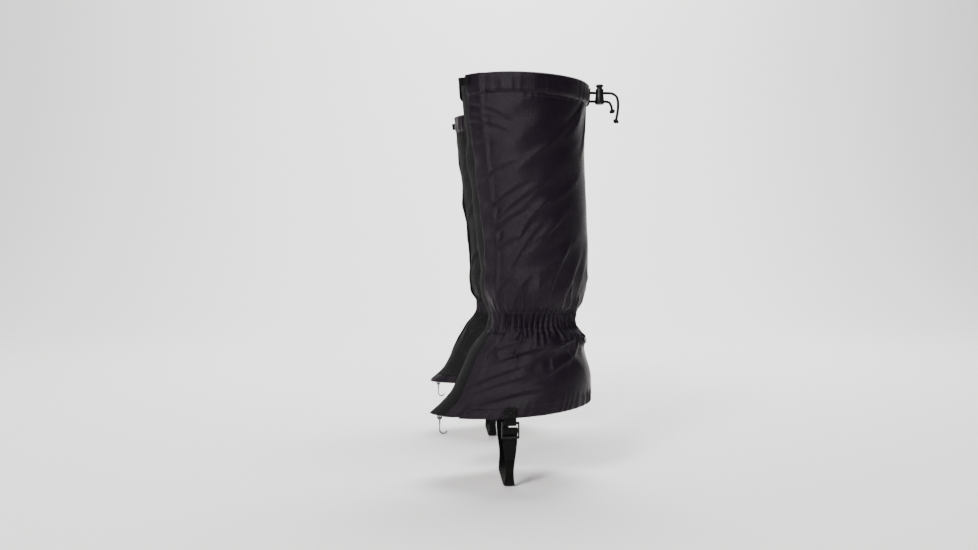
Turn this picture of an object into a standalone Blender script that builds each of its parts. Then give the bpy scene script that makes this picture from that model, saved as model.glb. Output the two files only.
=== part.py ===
"""A pair of hiking gaiters: fabric covers for the shin and the boot's upper.

Frame, in metres: +Z up, -X towards the toes, the left gaiter at -Y and the right one at +Y.
Z = 0 is the underside of the instep straps. Each gaiter is described once, in its own
coordinates (x, out, z), where "out" grows towards the outer side of the leg, and is then
placed for the left or the right leg.
"""

import math

import bmesh
import bpy
from mathutils import Vector

# Driving dimensions
HALF_SPACING = 0.130          # from the middle of the pair to the middle of each gaiter
GAP = 0.0003                  # between pieces that touch
PANEL = 0.0012                # fabric panel
TAPE = 0.0012                 # hook strip and flap
LOOP_TAPE = 0.0018            # loop strip with its facing
RIM_Z = 0.446                 # top rim at the shin
RIM_DROP = 0.006              # the rim is this much lower at the calf
HEM_HEIGHT = 0.022            # drawcord channel
CORD_RADIUS = 0.0015
ANKLE_LOW, ANKLE_HIGH = 0.172, 0.187
BOTTOM_HEM = 0.010
WEBBING_WIDTH = 0.015
WEBBING = 0.0014
STRAP_X = -0.027              # middle of the instep strap
BAR_Z = 0.0722                # the buckle's top bar, and the strap's swing axis

# Outline of one gaiter: height, shin side, calf side, half width, egg shape.
OUTLINE = (
    (0.000, -0.130, 0.066, 0.048, 0.25),
    (0.072, -0.114, 0.066, 0.050, 0.25),
    (0.089, -0.095, 0.066, 0.052, 0.17),
    (0.123, -0.077, 0.065, 0.053, 0.08),
    (0.143, -0.067, 0.059, 0.051, 0.04),
    (0.160, -0.055, 0.057, 0.048, 0.00),
    (0.171, -0.047, 0.050, 0.042, 0.00),
    (0.187, -0.046, 0.050, 0.042, 0.00),
    (0.205, -0.052, 0.057, 0.050, 0.00),
    (0.240, -0.053, 0.063, 0.053, 0.00),
    (0.335, -0.065, 0.060, 0.058, 0.00),
    (0.403, -0.073, 0.060, 0.060, 0.00),
    (0.446, -0.077, 0.063, 0.061, 0.00),
    (0.480, -0.080, 0.064, 0.062, 0.00),
)

# Angles round the leg in degrees: 0 at the shin, 90 outside, 180 at the calf.
INNER_FRONT = -5.0            # front edge of the inner panels
LOOP_EDGE = 46.0              # the loop strip's outer edge, under the flap
FLAP_HINGE = 50.0
SHIN_FLAP_EDGE = 27.0
INSTEP_FLAP_EDGE = 34.0
OUTER_FRONT = 51.2            # front edge of the outer panels
BACK_SEAM = 179.8


def material(name, colour, roughness, metallic=0.0):
    made = bpy.data.materials.new(name)
    made.use_nodes = True
    shader = made.node_tree.nodes["Principled BSDF"]
    shader.inputs["Base Color"].default_value = (*colour, 1.0)
    shader.inputs["Roughness"].default_value = roughness
    shader.inputs["Metallic"].default_value = metallic
    made.diffuse_color = (*colour, 1.0)
    return made


def make_materials():
    return {
        "outer": material("outer_fabric", (0.030, 0.026, 0.031), 0.62),
        "inner": material("inner_fabric", (0.026, 0.026, 0.025), 0.75),
        "tape": material("closure_tape", (0.010, 0.010, 0.011), 0.9),
        "elastic": material("elastic", (0.02, 0.02, 0.02), 0.8),
        "cord": material("cord", (0.012, 0.012, 0.013), 0.7),
        "webbing": material("webbing", (0.012, 0.012, 0.013), 0.8),
        "plastic": material("black_plastic", (0.014, 0.014, 0.015), 0.4),
        "steel": material("hook_steel", (0.30, 0.30, 0.31), 0.35, 1.0),
    }


def between(low, high, share):
    return low + (high - low) * share


def outline_at(z):
    """Shin side, calf side, half width and egg shape at a height."""
    for below, above in zip(OUTLINE, OUTLINE[1:]):
        if z <= above[0]:
            share = (z - below[0]) / (above[0] - below[0])
            return [between(low, high, share) for low, high in zip(below[1:], above[1:])]
    return OUTLINE[-1][1:]


def skin(degrees, z, offset=0.0):
    """(x, out, z) on the gaiter's surface, moved outwards by an offset."""
    shin, calf, half_width, egg = outline_at(z)
    angle = math.radians(degrees)
    middle, half_depth = (shin + calf) / 2, (calf - shin) / 2
    x = middle - half_depth * math.cos(angle)
    out = half_width * math.sin(angle) * (1 - egg * math.cos(angle))
    along_x = half_depth * math.sin(angle)
    along_out = half_width * (math.cos(angle) - egg * math.cos(2 * angle))
    length = math.hypot(along_x, along_out)
    return (x - offset * along_out / length, out + offset * along_x / length, z)


def rim(degrees):
    return RIM_Z - RIM_DROP * (1 - math.cos(math.radians(degrees))) / 2


def hem_low(degrees):
    return rim(degrees) - HEM_HEIGHT


def bottom(degrees):
    """The bottom edge dips at the toe and rises at the heel."""
    angle = math.radians(degrees)
    return 0.0787 - 0.0075 * math.cos(angle) + 0.0018 * math.cos(2 * angle)


def height(edge, degrees):
    return edge(degrees) if callable(edge) else edge


def steps(start, end, count):
    return [between(start, end, i / count) for i in range(count + 1)]


class Leg:
    """Places one gaiter's pieces: side is -1 for the left leg and +1 for the right one."""

    def __init__(self, name, side, materials):
        self.name = name
        self.side = side
        self.materials = materials

    def place(self, point):
        x, out, z = point
        return Vector((x, self.side * (HALF_SPACING + out), z))

    def solid(self, name, points, faces, finish, smooth=True):
        """One closed mesh, from points in the gaiter's own coordinates."""
        sculpt = bmesh.new()
        corners = [sculpt.verts.new(self.place(point)) for point in points]
        for face in faces:
            sculpt.faces.new([corners[i] for i in face])
        bmesh.ops.recalc_face_normals(sculpt, faces=sculpt.faces)
        mesh = bpy.data.meshes.new(name)
        sculpt.to_mesh(mesh)
        sculpt.free()
        mesh.materials.append(self.materials[finish])
        if smooth:
            mesh.shade_smooth()
            mesh.set_sharp_from_angle(angle=math.radians(40))
        made = bpy.data.objects.new(f"{self.name}_{name}", mesh)
        bpy.context.scene.collection.objects.link(made)
        return made

    def shell(self, name, degrees, rows, inside, thickness, finish):
        """A curved sheet with thickness: rows are heights, or functions of the angle."""
        points, count = [], len(rows)
        for offset in (inside, inside + thickness):
            for angle in degrees:
                points += [skin(angle, height(row, angle), offset) for row in rows]
        layer = len(degrees) * count
        faces = []
        for i in range(len(degrees) - 1):
            for j in range(count - 1):
                a = i * count + j
                quad = (a, a + 1, a + count + 1, a + count)
                faces.append(quad)
                faces.append(tuple(layer + corner for corner in quad))
        rim_of_sheet = [i * count for i in range(len(degrees))]
        rim_of_sheet += [(len(degrees) - 1) * count + j for j in range(1, count)]
        rim_of_sheet += [i * count + count - 1 for i in reversed(range(len(degrees) - 1))]
        rim_of_sheet += list(reversed(range(1, count - 1)))
        for a, b in zip(rim_of_sheet, rim_of_sheet[1:] + rim_of_sheet[:1]):
            faces.append((a, b, layer + b, layer + a))
        return self.solid(name, points, faces, finish)

    def channel(self, name, degrees, low, tall, offsets, wall, finish):
        """A hollow band round the leg, open at its two ends."""
        inner, outer = offsets
        points, faces = [], []
        for angle in degrees:
            z = height(low, angle)
            for inset in (0.0, wall):
                for offset, level in (
                    (inner + inset, z + inset),
                    (outer - inset, z + inset),
                    (outer - inset, z + tall - inset),
                    (inner + inset, z + tall - inset),
                ):
                    x, out, _ = skin(angle, z + tall / 2, offset)
                    points.append((x, out, level))
        for i in range(len(degrees) - 1):
            for ring in (0, 4):
                for corner in range(4):
                    a = i * 8 + ring + corner
                    b = i * 8 + ring + (corner + 1) % 4
                    faces.append((a, b, b + 8, a + 8))
        for start in (0, (len(degrees) - 1) * 8):
            for corner in range(4):
                a, b = start + corner, start + (corner + 1) % 4
                faces.append((a, b, b + 4, a + 4))
        return self.solid(name, points, faces, finish)

    def band(self, name, degrees, low, tall, offsets, finish):
        """A solid upright band round the leg, such as the elastic inside a channel."""
        points, faces = [], []
        for angle in degrees:
            z = height(low, angle)
            for offset, level in (
                (offsets[0], z),
                (offsets[1], z),
                (offsets[1], z + tall),
                (offsets[0], z + tall),
            ):
                x, out, _ = skin(angle, z + tall / 2, offset)
                points.append((x, out, level))
        for i in range(len(degrees) - 1):
            for corner in range(4):
                a, b = i * 4 + corner, i * 4 + (corner + 1) % 4
                faces.append((a, b, b + 4, a + 4))
        last = (len(degrees) - 1) * 4
        faces += [(0, 1, 2, 3), (last, last + 1, last + 2, last + 3)]
        return self.solid(name, points, faces, finish)

    def ribbon(self, name, path, thickness, width, centre, finish, across="x"):
        """A flat strip along a path. It is as wide as given, across x, out or z."""
        edges = ([], [])
        for i, (p, q) in enumerate(path):
            before, after = path[max(i - 1, 0)], path[min(i + 1, len(path) - 1)]
            turn = Vector((after[0] - before[0], after[1] - before[1])).normalized()
            edges[0].append((p - turn.y * thickness / 2, q + turn.x * thickness / 2))
            edges[1].append((p + turn.y * thickness / 2, q - turn.x * thickness / 2))
        section = edges[0] + edges[1][::-1]
        points = []
        for shift in (-width / 2, width / 2):
            for p, q in section:
                points.append(
                    {
                        "x": (centre + shift, p, q),
                        "out": (p, centre + shift, q),
                        "z": (p, q, centre + shift),
                    }[across]
                )
        count, half = len(section), len(path)
        faces = []
        for i in range(half - 1):
            for start in (0, count):
                a, b = start + i, start + count - 1 - i
                faces.append((a, a + 1, b - 1, b))
        for i in range(count):
            j = (i + 1) % count
            faces.append((i, j, count + j, count + i))
        return self.solid(name, points, faces, finish)

    def tube(self, name, route, radius, finish, swell=(), sides=2):
        """A cord along a route, with knots where swell gives an index and a size."""
        curve = bpy.data.curves.new(name, "CURVE")
        curve.dimensions = "3D"
        curve.bevel_depth = radius
        curve.bevel_resolution = sides
        curve.use_fill_caps = True
        line = curve.splines.new("POLY")
        line.points.add(len(route) - 1)
        for point, place in zip(line.points, route):
            point.co = (*self.place(place), 1.0)
        for index, size in swell:
            line.points[index].radius = size
        curve.materials.append(self.materials[finish])
        made = bpy.data.objects.new(f"{self.name}_{name}", curve)
        bpy.context.scene.collection.objects.link(made)
        return made

    def turned(self, name, profile, finish, sides=18):
        """A round piece about the cord lock's axis: (radius, z) from pole to pole."""
        points = [(LOCK_X, 0.0, LOCK_Z + profile[0][1]), (LOCK_X, 0.0, LOCK_Z + profile[-1][1])]
        rings = profile[1:-1]
        for radius, z in rings:
            for i in range(sides):
                angle = 2 * math.pi * i / sides
                points.append(
                    (
                        LOCK_X + radius * math.cos(angle),
                        radius * math.sin(angle),
                        LOCK_Z + z,
                    )
                )
        faces = []
        for i in range(sides):
            j = (i + 1) % sides
            faces.append((0, 2 + i, 2 + j))
            last = 2 + (len(rings) - 1) * sides
            faces.append((1, last + i, last + j))
            for ring in range(len(rings) - 1):
                low = 2 + ring * sides
                faces.append((low + i, low + j, low + sides + j, low + sides + i))
        return self.solid(name, points, faces, finish)

    def lattice(self, name, depth, cuts, levels, window, finish, facing="out"):
        """A flat plate with rectangular windows: its face looks outwards, or along X."""
        columns, rows = len(cuts), len(levels)

        def corner(i, j, layer):
            return layer * columns * rows + i * rows + j

        def filled(i, j):
            inside = 0 <= i < columns - 1 and 0 <= j < rows - 1
            return inside and (i, j) not in window

        points = []
        for layer in depth:
            for cut in cuts:
                for z in levels:
                    points.append((cut, layer, z) if facing == "out" else (layer, cut, z))
        faces = []
        for i in range(columns - 1):
            for j in range(rows - 1):
                if not filled(i, j):
                    continue
                square = ((i, j), (i + 1, j), (i + 1, j + 1), (i, j + 1))
                for layer in (0, 1):
                    faces.append([corner(*place, layer) for place in square])
                beside = ((0, -1), (1, 0), (0, 1), (-1, 0))
                for k, (di, dj) in enumerate(beside):
                    if filled(i + di, j + dj):
                        continue
                    a, b = square[k], square[(k + 1) % 4]
                    faces.append((corner(*a, 0), corner(*b, 0), corner(*b, 1), corner(*a, 1)))
        return self.solid(name, points, faces, finish, smooth=False)

    def cut(self, target, cutter, operation="DIFFERENCE"):
        cutter.hide_render = True
        cutter.display_type = "WIRE"
        change = target.modifiers.new(cutter.name, "BOOLEAN")
        change.operation = operation
        change.object = cutter

    def drill(self, target, name, centre, radius, length):
        """Cuts a round hole along X."""
        mesh = bpy.data.meshes.new(name)
        sculpt = bmesh.new()
        bmesh.ops.create_cone(
            sculpt,
            cap_ends=True,
            segments=14,
            radius1=radius,
            radius2=radius,
            depth=length,
        )
        sculpt.to_mesh(mesh)
        sculpt.free()
        cutter = bpy.data.objects.new(f"{self.name}_{name}", mesh)
        cutter.location = self.place(centre)
        cutter.rotation_euler = (0.0, math.pi / 2, 0.0)
        bpy.context.scene.collection.objects.link(cutter)
        self.cut(target, cutter)


def bend(start, corner, end, count=5):
    """Points of a smooth corner."""
    points = []
    for share in steps(0.0, 1.0, count):
        first = [between(a, b, share) for a, b in zip(start, corner)]
        second = [between(a, b, share) for a, b in zip(corner, end)]
        points.append(tuple(between(a, b, share) for a, b in zip(first, second)))
    return points


def arc(centre, radius, first, last, count):
    """Points of an arc, with its angles in degrees."""
    return [
        (
            centre[0] + radius * math.cos(math.radians(angle)),
            centre[1] + radius * math.sin(math.radians(angle)),
        )
        for angle in steps(first, last, count)
    ]


# Where the two free cord strands leave the hem, and the cord lock behind it
def smooth(points, count):
    """A Catmull-Rom line through points, each stretch cut into count steps."""
    points = [Vector(point) for point in points]
    ends = [2 * points[0] - points[1]] + points + [2 * points[-1] - points[-2]]
    line = []
    for a, b, c, d in zip(ends, ends[1:], ends[2:], ends[3:]):
        for i in range(count):
            t = i / count
            curve = 2 * b + (c - a) * t + (2 * a - 5 * b + 4 * c - d) * t**2
            line.append(tuple((curve + (3 * b - a - 3 * c + d) * t**3) / 2))
    return line + [tuple(points[-1])]


CALF_HEM_LOW = RIM_Z - RIM_DROP - HEM_HEIGHT
LOCK_X = 0.0785
LOCK_Z = CALF_HEM_LOW + 0.003
LOCK_HOLE = 0.0019
ANCHOR_Z = LOCK_Z + 0.0032
RUNNING_Z = LOCK_Z + 0.0128
HEM_OFFSETS = (-0.0024, 0.0036)
HEM_WALL = 0.0012
ANKLE_OFFSETS = (-0.0024, 0.0024)
BOTTOM_OFFSETS = (-0.0018, 0.0012)
HOOK_INSIDE = LOOP_TAPE + GAP
FLAP_INSIDE = HOOK_INSIDE + TAPE + GAP
FLAP_OUTSIDE = FLAP_INSIDE + TAPE
PULL_TAB = 0.0014             # folded tape at the top of the flap's free edge
PULL_TAB_HEIGHT = 0.009
PULL_TAB_REACH = 0.007        # ahead of the flap
PULL_TAB_Z = 0.4385

# The cord lock: (radius, height) profiles about its vertical axis, from its underside.
BARREL_PROFILE = (
    (0.0, 0.0),
    (0.0048, 0.0),
    (0.0052, 0.0008),
    (0.0050, 0.0065),
    (0.0044, 0.0120),
    (0.0044, 0.0172),
    (0.0034, 0.0172),
    (0.0034, 0.0056),
    (0.0, 0.0056),
)
PLUNGER_PROFILE = (
    (0.0, 0.0100),
    (0.0031, 0.0100),
    (0.0031, 0.0197),
    (0.0042, 0.0197),
    (0.0044, 0.0206),
    (0.0040, 0.0222),
    (0.0, 0.0222),
)
PLUNGER_SLOT = (0.0110, 0.0168)    # heights of the slot that the running cord passes through
SPRING_RADIUS = 0.0024
SPRING_WIRE = 0.00035
SPRING_SPAN = (0.0063, 0.0094)
SPRING_TURNS = 3

# Routes of the two strands behind the hem, as (x, out, height above the strand's hole)
RUNNING_ROUTE = (
    (0.0643, 0.0, 0.0),
    (0.0700, 0.0, 0.0),
    (0.0760, 0.0, 0.0),
    (0.0820, 0.0, 0.0),
    (0.0880, 0.0, 0.0),
    (0.0935, 0.0, -0.0006),
    (0.0980, 0.0004, -0.0042),
    (0.0995, 0.0010, -0.0110),
    (0.0990, 0.0016, -0.0200),
    (0.0972, 0.0020, -0.0300),
)
ANCHOR_ROUTE = (
    (0.0643, 0.0, 0.0),
    (0.0700, 0.0, 0.0),
    (0.0760, 0.0, 0.0),
    (0.0820, 0.0, 0.0),
    (0.0855, 0.0, 0.0),
    (0.0895, 0.0, -0.0010),
    (0.0920, -0.0003, -0.0048),
    (0.0928, -0.0006, -0.0090),
)

# The strap and its ladder-lock buckle, as (out, z) measured from the buckle's plane and top bar
PLATE_OUT = 0.0545
TAB_WIDTH = 0.0125
TAB_TOP = 0.0165
BAR = 0.0013                  # half the thickness of a bar
BAR_DROPS = (0.0155, 0.0080, 0.0)
RAILS = (-0.0096, -0.0079, 0.0079, 0.0096)
TURN_RADIUS = 0.0028          # of the strap's end about the middle bar
TAIL_DROP = 0.0400

# The lace hook
HOOK_BAR = (-0.1020, 0.0700)
HOOK_WIRE = 0.0010
HOOK_SIDES = (-0.0080, -0.0062, 0.0062, 0.0080)
HOOK_DROP = 0.0068            # from the tape's bar to the frame's lower bar
THROAT = 0.0042


def fabric(leg):
    """Shin and boot panels: thin shells round the leg, open at the front."""
    outer = steps(OUTER_FRONT, BACK_SEAM, 10)
    inner = steps(-BACK_SEAM, INNER_FRONT, 12)
    shin_rows = (ANKLE_HIGH + GAP, 0.205, 0.240, 0.335, lambda a: hem_low(a) - GAP)
    boot_rows = (
        lambda a: bottom(a) + BOTTOM_HEM + GAP,
        0.123,
        0.143,
        0.160,
        ANKLE_LOW - GAP,
    )
    for name, degrees, finish in (("outer", outer, "outer"), ("inner", inner, "inner")):
        leg.shell(f"{name}_shin_panel", degrees, shin_rows, 0.0, PANEL, finish)
        leg.shell(f"{name}_boot_panel", degrees, boot_rows, 0.0, PANEL, finish)


def bands(leg):
    """The three channels round the leg, with the cord and the elastics inside them."""
    round_leg = steps(OUTER_FRONT, 358 + INNER_FRONT, 30)
    hem = leg.channel(
        "top_hem", round_leg, hem_low, HEM_HEIGHT, HEM_OFFSETS, HEM_WALL, "outer"
    )
    back_x = skin(180, hem_low(180) + HEM_HEIGHT / 2, HEM_OFFSETS[1])[0]
    for name, z in (("anchor_hole", ANCHOR_Z), ("running_hole", RUNNING_Z)):
        leg.drill(hem, name, (back_x, 0.0, z), LOCK_HOLE + 0.0002, 3 * HEM_WALL)
    cord_route = [
        skin(angle, hem_low(angle) + HEM_HEIGHT / 2, sum(HEM_OFFSETS) / 2)
        for angle in steps(OUTER_FRONT + 2, 356 + INNER_FRONT, 40)
    ]
    leg.tube("drawcord", cord_route, CORD_RADIUS, "cord")
    leg.channel(
        "ankle_casing",
        round_leg,
        ANKLE_LOW,
        ANKLE_HIGH - ANKLE_LOW,
        ANKLE_OFFSETS,
        0.0012,
        "outer",
    )
    leg.band(
        "ankle_elastic", round_leg, ANKLE_LOW + 0.0025, 0.010, (-0.0006, 0.0006), "elastic"
    )
    leg.channel(
        "bottom_hem", round_leg, bottom, BOTTOM_HEM, BOTTOM_OFFSETS, 0.0008, "outer"
    )
    heel = [angle for angle in round_leg if 100 < angle < 260]
    leg.band(
        "heel_elastic", heel, lambda a: bottom(a) + 0.002, 0.006, (-0.0006, 0.0), "elastic"
    )


def closure(leg):
    """The front closure: loop strips on the body, hook strips behind the flap."""
    strip = steps(INNER_FRONT + 0.6, LOOP_EDGE, 5)
    shin_rows = (ANKLE_LOW - 0.0004, ANKLE_HIGH, 0.205, 0.240, 0.335, rim)
    instep_rows = (bottom, 0.089, 0.123, 0.143, 0.160, ANKLE_LOW - 0.0008)
    leg.shell("loop_strip_upper", strip, shin_rows, 0.0, LOOP_TAPE, "tape")
    leg.shell("loop_strip_lower", strip, instep_rows, 0.0, LOOP_TAPE, "tape")

    flap = steps(SHIN_FLAP_EDGE, FLAP_HINGE, 3)
    hook = steps(SHIN_FLAP_EDGE + 1.5, LOOP_EDGE, 3)
    leg.shell("flap_upper", flap, shin_rows, FLAP_INSIDE, TAPE, "outer")
    hook_rows = (0.176, ANKLE_HIGH, 0.205, 0.240, 0.335, 0.440)
    leg.shell("hook_strip_upper", hook, hook_rows, HOOK_INSIDE, TAPE, "tape")

    flap = steps(INSTEP_FLAP_EDGE, FLAP_HINGE, 3)
    hook = steps(INSTEP_FLAP_EDGE + 1.5, LOOP_EDGE, 2)
    flap_rows = (lambda a: bottom(a) + 0.002, 0.100, 0.123, 0.143, 0.160)
    hook_rows = (lambda a: bottom(a) + 0.005, 0.100, 0.123, 0.143, 0.156)
    leg.shell("flap_lower", flap, flap_rows, FLAP_INSIDE, TAPE, "outer")
    leg.shell("hook_strip_lower", hook, hook_rows, HOOK_INSIDE, TAPE, "tape")

    on_flap = FLAP_OUTSIDE + 0.0010 + PULL_TAB / 2
    start = skin(SHIN_FLAP_EDGE + 8, PULL_TAB_Z, on_flap)[:2]
    corner = skin(SHIN_FLAP_EDGE - 1, PULL_TAB_Z, on_flap)[:2]
    end = (corner[0] - PULL_TAB_REACH, corner[1] + 0.003)
    path = [start] + bend(skin(SHIN_FLAP_EDGE + 2, PULL_TAB_Z, on_flap)[:2], corner, end)
    leg.ribbon("flap_pull_tab", path, PULL_TAB, PULL_TAB_HEIGHT, PULL_TAB_Z, "webbing", across="z")


def cord_lock(leg):
    """A cord lock on the two strands that leave the hem's back."""
    hem_back = skin(180, hem_low(180) + HEM_HEIGHT / 2, HEM_OFFSETS[1])[0]

    patch_low, patch_tall = ANCHOR_Z - 0.0045, RUNNING_Z - ANCHOR_Z + 0.009
    patch_offsets = (HEM_OFFSETS[1] + 0.0005, HEM_OFFSETS[1] + 0.0015)
    patch = leg.band(
        "cord_exit_patch", (174, 180, 186), patch_low, patch_tall, patch_offsets, "webbing"
    )
    for name, z in (("patch_anchor_hole", ANCHOR_Z), ("patch_running_hole", RUNNING_Z)):
        leg.drill(patch, name, (hem_back, 0.0, z), LOCK_HOLE, 0.008)

    for name, route, level in (
        ("cord_tail", RUNNING_ROUTE, RUNNING_Z),
        ("cord_anchor", ANCHOR_ROUTE, ANCHOR_Z),
    ):
        line = smooth([(x, out, level + rise) for x, out, rise in route], 2)
        knot = ((len(line) - 2, 1.6), (len(line) - 3, 1.4))
        leg.tube(name, line, CORD_RADIUS, "cord", swell=knot)

    body = leg.turned("cord_lock_body", BARREL_PROFILE, "plastic")
    leg.drill(body, "lock_anchor_hole", (LOCK_X, 0.0, ANCHOR_Z), LOCK_HOLE, 0.016)
    leg.drill(body, "lock_running_hole", (LOCK_X, 0.0, RUNNING_Z), LOCK_HOLE, 0.016)

    plunger = leg.turned("cord_lock_plunger", PLUNGER_PROFILE, "plastic")
    slot = leg.lattice(
        "plunger_slot",
        (LOCK_X - 0.006, LOCK_X + 0.006),
        (-LOCK_HOLE, LOCK_HOLE),
        (LOCK_Z + PLUNGER_SLOT[0], LOCK_Z + PLUNGER_SLOT[1]),
        (),
        "plastic",
        facing="x",
    )
    leg.cut(plunger, slot)

    points_per_turn = 9
    count = SPRING_TURNS * points_per_turn
    coil = []
    for i in range(count + 1):
        angle = 2 * math.pi * i / points_per_turn
        x, out = SPRING_RADIUS * math.cos(angle), SPRING_RADIUS * math.sin(angle)
        coil.append((LOCK_X + x, out, LOCK_Z + between(*SPRING_SPAN, i / count)))
    leg.tube("cord_lock_spring", coil, SPRING_WIRE, "steel", sides=0)


def strap(leg):
    """Webbing tab, ladder-lock buckle and instep strap."""
    behind_bars = PLATE_OUT - 0.0023
    under_tail = behind_bars - WEBBING - GAP

    loop = arc((PLATE_OUT, BAR_Z), 0.0029, 80, -250, 14)
    tab_path = [(PLATE_OUT, BAR_Z + TAB_TOP), (PLATE_OUT, BAR_Z + 0.0045)] + loop
    leg.ribbon("strap_tab", tab_path, TAPE, TAB_WIDTH, STRAP_X, "webbing")

    rails = [STRAP_X + rail for rail in RAILS]
    levels = []
    for drop in BAR_DROPS:
        levels += [BAR_Z - drop - BAR, BAR_Z - drop + BAR]
    leg.lattice(
        "ladder_buckle",
        (PLATE_OUT - BAR, PLATE_OUT + BAR),
        rails,
        levels,
        {(1, 1), (1, 3)},
        "plastic",
    )

    middle_bar = (PLATE_OUT, BAR_Z - BAR_DROPS[1])
    end_path = [
        (under_tail, BAR_Z - 0.0185),
        (under_tail, BAR_Z - 0.0110),
        (under_tail + 0.0003, BAR_Z - 0.0070),
    ]
    end_path += arc(middle_bar, TURN_RADIUS, 125, -35, 7)
    end_path += [
        (PLATE_OUT - 0.0004, BAR_Z - 0.0120),
        (behind_bars, BAR_Z - 0.0136),
        (behind_bars, BAR_Z - 0.0175),
        (behind_bars + 0.0005, BAR_Z - TAIL_DROP),
    ]
    leg.ribbon("strap_end", end_path, WEBBING, WEBBING_WIDTH, STRAP_X, "webbing")

    sole = WEBBING / 2
    outer_top = (under_tail, BAR_Z - 0.0189)
    inner_top = (-0.0505, BAR_Z)
    path = [outer_top]
    path += bend((0.0445, 0.0210), (0.0415, sole), (0.0290, sole), 6)
    path += [(0.0, sole)]
    path += bend((-0.0290, sole), (-0.0415, sole), (-0.0445, 0.0210), 6)
    path += [inner_top]
    leg.ribbon("instep_strap", path, WEBBING, WEBBING_WIDTH, STRAP_X, "webbing")


def lace_hook(leg):
    """A hook at the front tip that holds the gaiter to the laces."""
    bar_x, bar_z = HOOK_BAR
    loop = arc((bar_x, bar_z), 0.0026, 60, -250, 12)
    path = [(-0.0925, 0.0845), (-0.0995, 0.0758)] + loop
    leg.ribbon("lace_hook_tab", path, 0.0011, 0.0110, 0.0, "webbing", across="out")

    frame_low = bar_z - HOOK_DROP
    levels = [level + edge for level in (frame_low, bar_z) for edge in (-HOOK_WIRE, HOOK_WIRE)]
    depth = (bar_x - HOOK_WIRE, bar_x + HOOK_WIRE)
    frame = leg.lattice("lace_hook", depth, HOOK_SIDES, levels, {(1, 1)}, "steel", facing="x")
    throat = arc((bar_x + THROAT, frame_low - 0.0080), THROAT, 180, 340, 8)
    hook_path = [(bar_x, frame_low)] + throat
    hook = leg.ribbon("hook_tongue", hook_path, 0.0016, 0.0060, 0.0, "steel", across="out")
    leg.cut(frame, hook, operation="UNION")


def main():
    for old in list(bpy.data.objects):
        bpy.data.objects.remove(old, do_unlink=True)
    materials = make_materials()
    for name, side in (("left", -1), ("right", 1)):
        leg = Leg(name, side, materials)
        fabric(leg)
        bands(leg)
        closure(leg)
        cord_lock(leg)
        strap(leg)
        lace_hook(leg)


main()
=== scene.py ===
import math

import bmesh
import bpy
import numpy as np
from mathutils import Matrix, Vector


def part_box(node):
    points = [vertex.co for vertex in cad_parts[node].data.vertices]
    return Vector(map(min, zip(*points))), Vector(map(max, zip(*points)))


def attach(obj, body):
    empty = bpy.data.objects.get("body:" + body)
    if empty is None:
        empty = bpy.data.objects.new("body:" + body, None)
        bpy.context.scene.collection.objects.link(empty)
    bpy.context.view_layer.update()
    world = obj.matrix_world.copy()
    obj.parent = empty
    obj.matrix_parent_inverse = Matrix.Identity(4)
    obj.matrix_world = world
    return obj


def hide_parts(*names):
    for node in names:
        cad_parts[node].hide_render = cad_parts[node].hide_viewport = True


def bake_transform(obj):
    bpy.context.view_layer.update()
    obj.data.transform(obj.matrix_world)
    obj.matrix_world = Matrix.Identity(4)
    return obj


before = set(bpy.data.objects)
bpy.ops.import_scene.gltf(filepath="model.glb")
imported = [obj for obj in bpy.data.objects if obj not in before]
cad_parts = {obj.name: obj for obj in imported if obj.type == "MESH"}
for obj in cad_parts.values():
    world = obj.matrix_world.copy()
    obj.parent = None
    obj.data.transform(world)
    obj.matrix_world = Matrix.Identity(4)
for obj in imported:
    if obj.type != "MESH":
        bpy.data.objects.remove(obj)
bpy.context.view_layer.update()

# %% [markdown]
# A pair of hiking gaiters. A gaiter is a sleeve of thin nylon that closes the gap between a boot and
# a trouser leg. The imported model already holds every hard size and joint, so this script only makes
# the looks: it builds each piece again with folds, gathers, stitches and a woven surface. Most new
# pieces ride on the body that moves the real one, but the spring, the buckle tab and the arch strap
# are tied to no body. Everything is in metres, with +Z up and the toes towards -X. Both gaiters come
# from the same functions, mirrored by a sign called side.

# %% [markdown]
# The places of the pieces come from the imported nodes. The strap hangs under the middle of each
# gaiter, so its box gives the distance between the legs.

# %% Places read from the frame
strap_low, strap_high = (Vector(corner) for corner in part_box("right_instep_strap"))
lock_low, lock_high = (Vector(corner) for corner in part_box("right_cord_lock_body"))
buckle_low, buckle_high = (Vector(corner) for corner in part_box("right_ladder_buckle"))
HALF_SPACING = (lock_low.y + lock_high.y) / 2
STRAP_X = (strap_low.x + strap_high.x) / 2
LOCK_X = (lock_low.x + lock_high.x) / 2
LOCK_Z = lock_low.z
BAR_Z = buckle_high.z - 0.0013
BUCKLE_OUT = (buckle_low.y + buckle_high.y) / 2 - HALF_SPACING
RIM_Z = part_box("left_loop_strip_upper")[1][2]
RIM_DROP = 0.006
HEM_HEIGHT = 0.022
ANKLE_LOW, ANKLE_HIGH = 0.172, 0.187
BOTTOM_HEM = 0.010
SIDES = (("left", -1), ("right", 1))
print("legs are", round(2 * HALF_SPACING, 3), "m apart, rim at", round(RIM_Z, 3))

# %% [markdown]
# The camera stands low, at about calf height, a metre from the outer side of the left gaiter, and
# looks almost straight across both legs. A slightly wide lens keeps the far gaiter visibly smaller.

# %% Camera
CAMERA_PLACE = Vector((-0.108, -1.080, 0.249))
CAMERA_AIM = Vector((0.0616, 0.950, -0.0202))
camera_data = bpy.data.cameras.new("camera")
camera_data.lens = 31.2
camera_data.sensor_width = 36.0
camera = bpy.data.objects.new("camera", camera_data)
camera.location = CAMERA_PLACE
camera.rotation_euler = CAMERA_AIM.to_track_quat("-Z", "Y").to_euler()
bpy.context.scene.collection.objects.link(camera)
bpy.context.scene.camera = camera

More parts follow.
